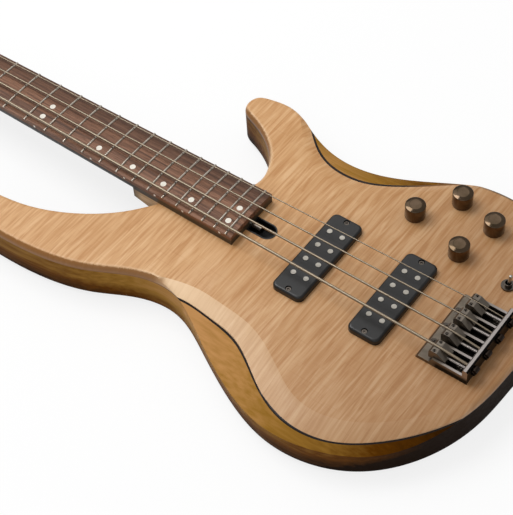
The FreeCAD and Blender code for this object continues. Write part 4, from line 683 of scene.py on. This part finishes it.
# Rosewood: reddish brown with darker streaks and open pores, and painted shade in patches towards the treble edge.
ROSEWOOD = TrebleShadedWood("rubbed_rosewood", "#986E55", "#7A543E", "#503526", roughness=(0.42, 0.56))
# Neck maple in thin satin lacquer: pale at the heel, with painted shade to near black along the sides and the
# back.
NECK_WOOD = ShadedWood("shaded_satin_neck_maple", "#DFC195", "#D2B184", "#B9966A", pore_mm=0.5,
                       roughness=(0.34, 0.44))
# Nickel silver fret wire, polished by the strings.
FRET_WIRE = PlatedMetal("nickel_silver_fret_wire", "#C9BEB1", "#B0A597", (0.2, 0.32), (0.6, 0.6, 0.6))
# Black nickel plate: dark, warm grey mirror with a slight haze.
BLACK_NICKEL = PlatedMetal("black_nickel_plate", "#565049", "#69615A", (0.18, 0.3))
# Black nickel on turned brass knobs: browner and smoother, so that lamps show as clear patches.
KNOB_PLATE = PlatedMetal("black_nickel_on_turned_brass", "#655444", "#544636", (0.09, 0.15),
                         (0.4, 0.4, 6.0))
# Black nickel on the bridge's zinc casting: hazy grey, paler at the wall, with painted shadow behind the saddles
# and painted shade on its rear faces.
BRIDGE_PLATE = TroughMetal("black_nickel_on_zinc_casting", "#7E7468", "#6C6358", (0.32, 0.44))
# Brushed saddles: the same grey plate, rubbed by hands.
SADDLE_PLATE = PlatedMetal("rubbed_nickel_saddle", "#81786D", "#6A625A", (0.3, 0.44))
# Intonation screws: bright threads in front of the wall, and heads behind it darkened with painted shade.
SCREW_PLATE = TroughMetal("bright_screw_with_shaded_head", "#A89F95", "#90887F", (0.24, 0.36),
                          stretch=Shade(31.0, 33.0), depth=Shade(80.0, 75.0))
# Plain turned steel: bright, with fine tool marks.
STEEL = PlatedMetal("bright_turned_steel", "#C4C1BA", "#A9A59D", (0.22, 0.36))
# Ground pole pieces: pale steel, dull enough to spread the light.
POLE_STEEL = PlatedMetal("ground_pole_steel", "#BFBAB1", "#AAA59B", (0.48, 0.6), (0.4, 0.4, 0.4))
# Moulded ABS: soft black sheen.
BLACK_PLASTIC = MouldedPlastic("moulded_black_abs", "#0C0B0B", "#141312")
# Pickup cover plastic: satin black with a little more sheen along its edges.
PICKUP_PLASTIC = MouldedPlastic("satin_black_pickup_abs", "#0F0E0D", "#171514", (0.3, 0.42))
# Graphite-filled nut: dense, dark grey and slightly waxy.
GRAPHITE = MouldedPlastic("graphite_filled_nut", "#1B1B1C", "#2A2A2B", (0.3, 0.4))
# White position dots: milky plastic with faint clouds.
DOT_WHITE = MouldedPlastic("milky_white_dot_acrylic", "#EDE8DC", "#DDD6C6", (0.22, 0.3))
# Cloth tape round the coils: dull black.
COIL_TAPE = MouldedPlastic("black_coil_tape", "#161514", "#22201E", (0.6, 0.75))
# Battery jacket: plain dark lacquered tin.
BATTERY_CASE = PlatedMetal("dark_lacquered_tin", "#3A3C40", "#2C2E31", (0.3, 0.4))
# Circuit board: green mask with paler tracks.
BOARD_MASK = PrintedBoard("glass_epoxy_board")
# Wound strings: dull, warm grey nickel ridges.
STRING_WIRE = WoundString("round_wound_nickel")


def paint(finish: Finish, *nodes: str) -> None:
    """Gives construction nodes a finish.

    Args:
        finish: the finish to show.
        nodes: names of the nodes that take it.
    """
    made = finish.material()
    for node in nodes:
        mesh = frame["nodes"][node].data
        mesh.materials.clear()
        mesh.materials.append(made)
        LOG.info("node %s takes %s", node, finish.name)


def deselect() -> None:
    """Clears the selection, so that an operator acts on the new piece alone."""
    if bpy.context.object and bpy.context.object.mode != "OBJECT":
        bpy.ops.object.mode_set(mode="OBJECT")
    bpy.ops.object.select_all(action="DESELECT")


def take(piece: bpy.types.Object, *others: bpy.types.Object) -> None:
    """Selects a piece, with others beside it, and makes it the active one."""
    deselect()
    for each in (piece, *others):
        each.select_set(True)
    bpy.context.view_layer.objects.active = piece


def weld(piece: bpy.types.Object) -> None:
    """Merges a piece's doubles and turns its faces outwards."""
    take(piece)
    bpy.ops.object.mode_set(mode="EDIT")
    bpy.ops.mesh.select_all(action="SELECT")
    bpy.ops.mesh.remove_doubles(threshold=WELD)
    bpy.ops.mesh.normals_make_consistent(inside=False)
    bpy.ops.object.mode_set(mode="OBJECT")


def select_faces(piece: bpy.types.Object, height: float, normal: Point) -> None:
    """Selects the faces of the piece in edit mode that face one way at a height.

    Args:
        piece: the piece in edit mode.
        height: height of the faces' centres.
        normal: the way the faces look.
    """
    mesh = bmesh.from_edit_mesh(piece.data)
    bpy.ops.mesh.select_all(action="DESELECT")
    bpy.ops.mesh.select_mode(type="FACE")
    way = Vector(normal)
    for face in mesh.faces:
        middle = piece.matrix_world @ face.calc_center_median()
        face.select_set(abs(middle.z - height) < HAIR and face.normal.dot(way) > FACING)
    bmesh.update_edit_mesh(piece.data)


def apply_modifier(piece: bpy.types.Object, kind: str, **settings: Any) -> None:
    """Adds a modifier with its settings and applies it."""
    made = piece.modifiers.new(kind.lower(), kind)
    for name, value in settings.items():
        setattr(made, name, value)
    bpy.context.view_layer.objects.active = piece
    bpy.ops.object.modifier_apply(modifier=made.name)


def settle(piece: bpy.types.Object, name: str, finish: Finish, node: str) -> bpy.types.Object:
    """Puts a finished piece's place into its mesh, dresses it and lets it ride in a node's stead.

    Args:
        piece: the modelled piece.
        name: its name.
        finish: what it is dressed in.
        node: the construction node that it stands for, whose body it rides on.

    Returns:
        The piece.
    """
    take(piece)
    bpy.ops.object.transform_apply(location=True, rotation=True, scale=True)
    bpy.ops.object.shade_smooth_by_angle(angle=SOFT_EDGE)
    piece.name = name
    piece.data.name = name
    piece.data.materials.clear()
    piece.data.materials.append(finish.material())
    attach(piece, BODY_OF[node])
    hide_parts(node)
    paint(finish, node)
    LOG.info("piece %s rides on %s", name, BODY_OF[node])
    return piece


def dress(finish: Finish, *nodes: str) -> None:
    """Dresses nodes and stands smoothly shaded copies in for them, so that round faces show no facets.

    Args:
        finish: what the nodes are dressed in.
        nodes: construction nodes whose shape is kept.
    """
    for node in nodes:
        deselect()
        source = frame["nodes"][node]
        piece = source.copy()
        piece.data = source.data.copy()
        bpy.context.scene.collection.objects.link(piece)
        take(piece)
        bpy.ops.mesh.customdata_custom_splitnormals_clear()
        weld(piece)
        settle(piece, node + "_smooth", finish, node)
        apply_modifier(piece, "WEIGHTED_NORMAL", keep_sharp=True, weight=LARGE_FACES)


@dataclass
class Body:
    """The body's three layers and what is let into its back and sides."""

    covers: tuple[str, ...] = ("control_cover", "battery_cover")
    hardware: tuple[str, ...] = ("strap_buttons", "output_jack", "small_screws", "neck_screws",
                                 "neck_ferrules")

    def build(self) -> None:
        """Gives the layers, covers and small hardware their finishes."""
        dress(MAPLE_TOP, "body_top")
        dress(VENEER, "accent_veneer")
        dress(CORE, "body_core")
        dress(BLACK_PLASTIC, *self.covers)
        dress(BLACK_NICKEL, *self.hardware)


@dataclass
class Electronics:
    """What the cavities in the back hold."""

    def build(self) -> None:
        """Gives the enclosed pieces their finishes."""
        paint(BLACK_PLASTIC, "battery_box")
        paint(BATTERY_CASE, "battery")
        paint(BOARD_MASK, "preamp_board")
        paint(BLACK_NICKEL, "potentiometers")


@dataclass
class Neck:
    """Neck, fretboard, frets, dots, nut and truss rod."""

    def build(self) -> None:
        """Gives the neck's pieces their finishes."""
        dress(NECK_WOOD, "neck")
        dress(ROSEWOOD, "fretboard")
        dress(FRET_WIRE, "frets")
        dress(DOT_WHITE, "inlay_dots")
        dress(GRAPHITE, "nut")
        paint(STEEL, "truss_rod")
        dress(BLACK_NICKEL, "truss_rod_nut")
        dress(BLACK_PLASTIC, "truss_rod_cup")


@dataclass
class Pickups:
    """Two pickups with their covers, poles and coils."""

    def build(self) -> None:
        """Gives the pickups' pieces their finishes."""
        dress(PICKUP_PLASTIC, "neck_pickup_cover", "bridge_pickup_cover")
        dress(POLE_STEEL, "pickup_poles")
        paint(COIL_TAPE, "pickup_coils")


@dataclass
class Controls:
    """Four knobs and a mini toggle."""

    facets: int = 96
    shaft_facets: int = 48
    grub_facets: int = 24
    shoulder_segments: int = 4
    foot_segments: int = 2
    base_gap_mm: float = 0.3
    shoulder_mm: float = 0.7
    chamfer_mm: float = 2.6
    chamfer_rise_mm: float = 1.0
    rim_mm: float = 0.5
    dish_mm: float = 0.25
    foot_mm: float = 0.3
    wall_mm: float = 2.8
    recess_mm: float = 3.7
    grub_radius_mm: float = 1.2
    grub_rise_mm: float = 4.5
    grub_reach_mm: float = 8.4
    shaft_radius_mm: float = 3.0
    shaft_cover_mm: float = 3.0

    def knob(self, use: Control) -> bpy.types.Object:
        """Models one turned knob: chamfered crown, dished top, hollow foot, grub screw hole and shaft.

        Args:
            use: what the knob sets.

        Returns:
            The knob.
        """
        node = "knob_" + use.value
        low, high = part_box(node)
        middle = (low + high) / 2
        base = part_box("body_top")[1].z + self.base_gap_mm * MM
        brow = high.z - self.chamfer_rise_mm * MM
        deselect()
        bpy.ops.mesh.primitive_cylinder_add(vertices=self.facets, radius=(high.x - low.x) / 2,
                                            depth=brow - base,
                                            location=(middle.x, middle.y, (brow + base) / 2))
        piece = bpy.context.object
        bpy.ops.object.mode_set(mode="EDIT")
        select_faces(piece, brow, UP)
        bpy.ops.mesh.bevel(offset=self.shoulder_mm * MM, segments=self.shoulder_segments, affect="EDGES")
        select_faces(piece, brow, UP)
        bpy.ops.mesh.inset(thickness=self.chamfer_mm * MM, depth=self.chamfer_rise_mm * MM)
        bpy.ops.mesh.inset(thickness=self.rim_mm * MM)
        bpy.ops.mesh.inset(thickness=self.dish_mm * MM, depth=-self.dish_mm * MM)
        select_faces(piece, base, DOWN)
        bpy.ops.mesh.bevel(offset=self.foot_mm * MM, segments=self.foot_segments, affect="EDGES")
        select_faces(piece, base, DOWN)
        bpy.ops.mesh.inset(thickness=(self.wall_mm - self.foot_mm) * MM)
        bpy.ops.mesh.extrude_region_move(TRANSFORM_OT_translate={"value": (0.0, 0.0, self.recess_mm * MM)})
        bpy.ops.object.mode_set(mode="OBJECT")
        self.drill(piece, Vector((middle.x, high.y, base + self.grub_rise_mm * MM)))
        take(piece, self.shaft(middle, low.z, high.z - self.shaft_cover_mm * MM))
        bpy.ops.object.join()
        return settle(piece, "turned_" + node, KNOB_PLATE, node)

    def drill(self, piece: bpy.types.Object, mouth: Vector) -> None:
        """Drills the grub screw hole into a knob's side at the mouth."""
        deselect()
        bpy.ops.mesh.primitive_cylinder_add(vertices=self.grub_facets, radius=self.grub_radius_mm * MM,
                                            depth=self.grub_reach_mm * MM, location=mouth,
                                            rotation=(math.pi / 2, 0.0, 0.0))
        cutter = bpy.context.object
        apply_modifier(piece, "BOOLEAN", object=cutter, operation="DIFFERENCE", solver="EXACT")
        bpy.data.objects.remove(cutter)

    def shaft(self, middle: Vector, foot: float, crown: float) -> bpy.types.Object:
        """Models the control's shaft with a bevelled crown, between two heights."""
        deselect()
        bpy.ops.mesh.primitive_cylinder_add(vertices=self.shaft_facets, radius=self.shaft_radius_mm * MM,
                                            depth=crown - foot,
                                            location=(middle.x, middle.y, (crown + foot) / 2))
        piece = bpy.context.object
        bpy.ops.object.mode_set(mode="EDIT")
        select_faces(piece, crown, UP)
        bpy.ops.mesh.bevel(offset=self.foot_mm * MM, segments=self.foot_segments, affect="EDGES")
        bpy.ops.object.mode_set(mode="OBJECT")
        return piece

    def build(self) -> None:
        """Builds the knobs and gives the toggle its finishes."""
        for use in Control:
            self.knob(use)
        dress(BLACK_NICKEL, "toggle_body")
        dress(STEEL, "toggle_lever")


@dataclass
class Bridge:
    """Cast base with its saddles and screws."""

    def build(self) -> None:
        """Gives the bridge's pieces their finishes."""
        dress(BRIDGE_PLATE, "bridge_base")
        dress(BLACK_NICKEL, "bridge_screws")
        for course in Course:
            dress(SADDLE_PLATE, "saddle_" + course.value)
            dress(BLACK_NICKEL, "height_screws_" + course.value)
            dress(SCREW_PLATE, "intonation_screw_" + course.value)


@dataclass
class Tuners:
    """Four geared tuners on the headstock."""

    def build(self) -> None:
        """Gives the tuners' pieces their finishes."""
        dress(BLACK_NICKEL, "tuner_housings", "tuner_bushings")
        for course in Course:
            dress(BLACK_NICKEL, "tuner_post_" + course.value, "tuner_key_" + course.value)


@dataclass
class Strings:
    """Four wound strings, taut from their ball ends over saddle and nut to the turns on their posts."""

    diameters_mm: tuple[float, ...] = (2.67, 2.16, 1.65, 1.14)
    skin_mm: float = 0.02
    pitch_bridge_mm: float = 19.0
    pitch_nut_mm: float = 10.2
    board_radius_mm: float = 254.0
    action_nut_mm: float = 0.6
    action_end_mm: float = 2.2
    frets: int = 24
    frets_an_octave: int = 12
    kink_mm: float = 5.0
    ease_mm: float = 1.6
    hole_rise_mm: float = 12.3
    ball_radius_mm: float = 2.5
    ball_length_mm: float = 6.0
    ball_edge_mm: float = 0.4
    ball_rim_mm: float = 0.6
    ball_dish_mm: float = 0.5
    post_radius_mm: float = 5.0
    post_gap_mm: float = 0.3
    winding_rise_mm: float = 4.2
    winding_gap_mm: float = 0.6
    turns: float = 2.5
    steps_a_turn: int = 16
    bend_reach: float = 6.0
    bend_parts: float = 3.0
    curve_order: int = 3
    curve_steps: int = 4
    round_steps: int = 4
    ball_facets: int = 32
    ball_segments: int = 3

    def point(self, index: int, x: float) -> Vector:
        """Centre of a string between bridge and nut.

        Args:
            index: the string, from the lowest.
            x: place along the neck in millimetres.

        Returns:
            The point in millimetres.
        """
        scale = -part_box("nut")[1].x / MM
        share = -x / scale
        pitch = self.pitch_bridge_mm + (self.pitch_nut_mm - self.pitch_bridge_mm) * share
        y = (index - (len(self.diameters_mm) - 1) / 2) * pitch
        rise = (self.action_end_mm - self.action_nut_mm) / (1 - 2 ** (-self.frets / self.frets_an_octave))
        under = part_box("frets")[1].z / MM + self.action_nut_mm + rise * (1 - share)
        drop = self.board_radius_mm - math.sqrt(self.board_radius_mm ** 2 - y ** 2)
        return Vector((x, y, under - drop + self.diameters_mm[index] / 2))

    def route(self, index: int, course: Course) -> list[Vector]:
        """Control points of a string's centre line in millimetres, from its ball end to its last turn.

        Args:
            index: the string, from the lowest.
            course: the string's name.

        Returns:
            The points.
        """
        diameter = self.diameters_mm[index]
        post = JOINT_PLACES[course.value + "_post_turn"] / MM
        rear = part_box("bridge_base")[1].x / MM + self.ball_radius_mm
        ball = Vector((rear, self.point(index, 0).y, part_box("body_top")[1].z / MM + self.hole_rise_mm))
        kink = self.point(index, self.kink_mm)
        leave = self.point(index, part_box("nut")[0].x / MM - self.ease_mm)
        side = math.copysign(1.0, post.y)
        radius = self.post_radius_mm + self.post_gap_mm + diameter / 2
        pitch = diameter + self.winding_gap_mm
        entry = post.z + self.winding_rise_mm + pitch * self.turns + diameter / 2
        flat = (post - leave).xy
        heading = math.atan2(flat.y, flat.x) - side * math.asin(radius / flat.length)
        start = heading - side * math.pi / 2
        touch = Vector((post.x + radius * math.cos(start), post.y + radius * math.sin(start), entry))
        reach = self.bend_reach * diameter
        points = [ball]
        for before, corner, after in ((ball, kink, leave), (kink, leave, touch)):
            eased = [corner + way.normalized() * min(reach, way.length / self.bend_parts)
                     for way in (before - corner, after - corner)]
            points.extend((eased[0], corner, eased[1]))
        points.append(touch)
        step = 2 * math.pi / self.steps_a_turn
        wide = radius / math.cos(step / 2)
        for count in range(1, round(self.turns * self.steps_a_turn) + 1):
            angle = start + side * step * count
            fall = pitch * count / self.steps_a_turn
            points.append(Vector((post.x + wide * math.cos(angle), post.y + wide * math.sin(angle),
                                  entry - fall)))
        return points

    def string(self, index: int, course: Course) -> bpy.types.Object:
        """Models one string as a round tube along its route, with its ball end.

        Args:
            index: the string, from the lowest.
            course: the string's name.

        Returns:
            The string.
        """
        points = self.route(index, course)
        node = "string_" + course.value
        deselect()
        bpy.ops.curve.primitive_nurbs_path_add(location=(0.0, 0.0, 0.0))
        piece = bpy.context.object
        line = piece.data.splines[0]
        line.points.add(len(points) - len(line.points))
        for spot, point in zip(line.points, points):
            spot.co = (*(point * MM), 1.0)
        line.order_u = self.curve_order
        line.use_endpoint_u = True
        line.resolution_u = self.curve_steps
        piece.data.bevel_depth = (self.diameters_mm[index] / 2 - self.skin_mm) * MM
        piece.data.bevel_resolution = self.round_steps
        piece.data.use_fill_caps = True
        bpy.ops.object.convert(target="MESH")
        piece = bpy.context.object
        take(piece, self.ball(points[0] * MM))
        bpy.ops.object.join()
        weld(piece)
        return settle(piece, "wound_" + node, STRING_WIRE, node)

    def ball(self, place: Vector) -> bpy.types.Object:
        """Models a ball end at a place: a barrel across the string with dished ends."""
        deselect()
        bpy.ops.mesh.primitive_cylinder_add(vertices=self.ball_facets, radius=self.ball_radius_mm * MM,
                                            depth=self.ball_length_mm * MM, location=place)
        piece = bpy.context.object
        bpy.ops.object.mode_set(mode="EDIT")
        half = self.ball_length_mm / 2 * MM
        for way, height in ((UP, place.z + half), (DOWN, place.z - half)):
            select_faces(piece, height, way)
            bpy.ops.mesh.bevel(offset=self.ball_edge_mm * MM, segments=self.ball_segments, affect="EDGES")
            select_faces(piece, height, way)
            bpy.ops.mesh.inset(thickness=self.ball_rim_mm * MM, depth=-self.ball_dish_mm * MM)
        bpy.ops.object.mode_set(mode="OBJECT")
        piece.rotation_euler = (math.pi / 2, 0.0, 0.0)
        bpy.ops.object.transform_apply(location=False, rotation=True, scale=False)
        return piece

    def build(self) -> None:
        """Builds the strings in place of the plain ones."""
        for index, course in enumerate(Course):
            self.string(index, course)


@dataclass(frozen=True)
class Lamp:
    """A square soft lamp: its name, where it hangs, its side in metres and its power in watts."""

    name: str
    place: Point
    size: float
    power: float


@dataclass
class Studio:
    """Pale floor, soft light and the camera at the photograph's angle."""

    floor_size: float = 60.0
    floor_gap: float = 0.0002
    floor_colour: str = "#FBFBFB"
    floor_glow: float = 0.8
    world_strength: float = 0.45
    mirror_strength: float = 0.4
    lamps: tuple[Lamp, ...] = (Lamp("key", (-1.55, -0.05, 2.25), 1.6, 41.0),
                               Lamp("fill", (0.5, -1.3, 1.3), 1.2, 3.0),
                               Lamp("mirror", (-0.95, 0.95, 1.6), 1.1, 3.0))
    lamp_aim: Point = (-0.15, 0.0, 0.04)
    lens_mm: float = 102.14
    sensor_mm: float = 36.0
    azimuth: float = 40.12
    elevation: float = 51.85
    roll: float = -4.44
    target: Point = (-0.18284, -0.02902, 0.044)
    distance: float = 1.27683

    def light(self) -> None:
        """Adds the world and the soft lamps."""
        world = bpy.data.worlds.new("studio")
        bpy.context.scene.world = world
        world.use_nodes = True
        tree = world.node_tree
        tree.nodes.clear()
        paths = add_node(tree, "LightPath").outputs
        strength = add_node(tree, "MapRange", {"Value": paths["Is Glossy Ray"], "To Min": self.world_strength,
                                               "To Max": self.mirror_strength})
        strength = add_node(tree, "MapRange", {"Value": paths["Is Camera Ray"], "To Min": strength})
        sky = add_node(tree, "Background", {"Color": linear(WHITE), "Strength": strength})
        add_node(tree, "OutputWorld", {"Surface": sky})
        for lamp in self.lamps:
            self.hang(lamp)

    def hang(self, lamp: Lamp) -> None:
        """Adds one lamp that looks at the body."""
        data = bpy.data.lights.new(lamp.name, "AREA")
        data.size = lamp.size
        data.energy = lamp.power
        hung = bpy.data.objects.new(lamp.name, data)
        bpy.context.scene.collection.objects.link(hung)
        place = Vector(lamp.place)
        aim = Vector(self.lamp_aim) - place
        hung.matrix_world = Matrix.LocRotScale(place, aim.to_track_quat("-Z", "Y"), None)
        LOG.info("lamp %s of %.1f W", lamp.name, lamp.power)

    def floor(self) -> None:
        """Adds the floor under the flat back, white to the camera's rays but still shaded by the object."""
        deselect()
        bpy.ops.mesh.primitive_plane_add(size=self.floor_size, location=(0.0, 0.0, 0.0))
        plane = bpy.context.object
        plane.name = "floor"
        plane.location.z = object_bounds()[0].z - self.floor_gap
        made = bpy.data.materials.new("pale_paper_floor")
        made.use_nodes = True
        tree = made.node_tree
        tree.nodes.clear()
        paper = add_node(tree, "BsdfDiffuse", {"Color": linear(self.floor_colour)})
        glow = add_node(tree, "Emission", {"Color": linear(WHITE), "Strength": 1.0})
        seen = add_node(tree, "LightPath").outputs["Is Camera Ray"]
        share = add_node(tree, "MapRange", {"Value": seen, "To Max": self.floor_glow})
        mixed = add_node(tree, "MixShader", {0: share, 1: paper, 2: glow})
        add_node(tree, "OutputMaterial", {"Surface": mixed})
        plane.data.materials.append(made)
        plane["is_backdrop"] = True

    def camera(self) -> None:
        """Adds the camera at the photograph's angle."""
        a, e, roll = (math.radians(v) for v in (self.azimuth, self.elevation, self.roll))
        back = Vector((math.sin(a) * math.cos(e), -math.cos(a) * math.cos(e), math.sin(e)))
        right = Vector((math.cos(a), math.sin(a), 0.0))
        up = back.cross(right)
        across = math.cos(roll) * right + math.sin(roll) * up
        upward = math.cos(roll) * up - math.sin(roll) * right
        data = bpy.data.cameras.new("photo_view")
        data.lens = self.lens_mm
        data.sensor_width = self.sensor_mm
        camera = bpy.data.objects.new("photo_view", data)
        bpy.context.scene.collection.objects.link(camera)
        turn = Matrix((across, upward, back)).transposed()
        camera.matrix_world = Matrix.Translation(Vector(self.target) + back * self.distance) @ turn.to_4x4()
        bpy.context.scene.camera = camera

    def build(self) -> None:
        """Sets up light, floor, camera and the plain view transform."""
        self.light()
        self.floor()
        self.camera()
        bpy.context.scene.view_settings.view_transform = "Standard"


def main() -> None:
    """Builds the sub-assemblies in order, then the studio."""
    logging.basicConfig(level=logging.INFO)
    for kind in (Body, Electronics, Neck, Pickups, Controls, Bridge, Tuners, Strings, Studio):
        LOG.info("building %s", kind.__name__)
        kind().build()


if __name__ == "__main__":
    main()
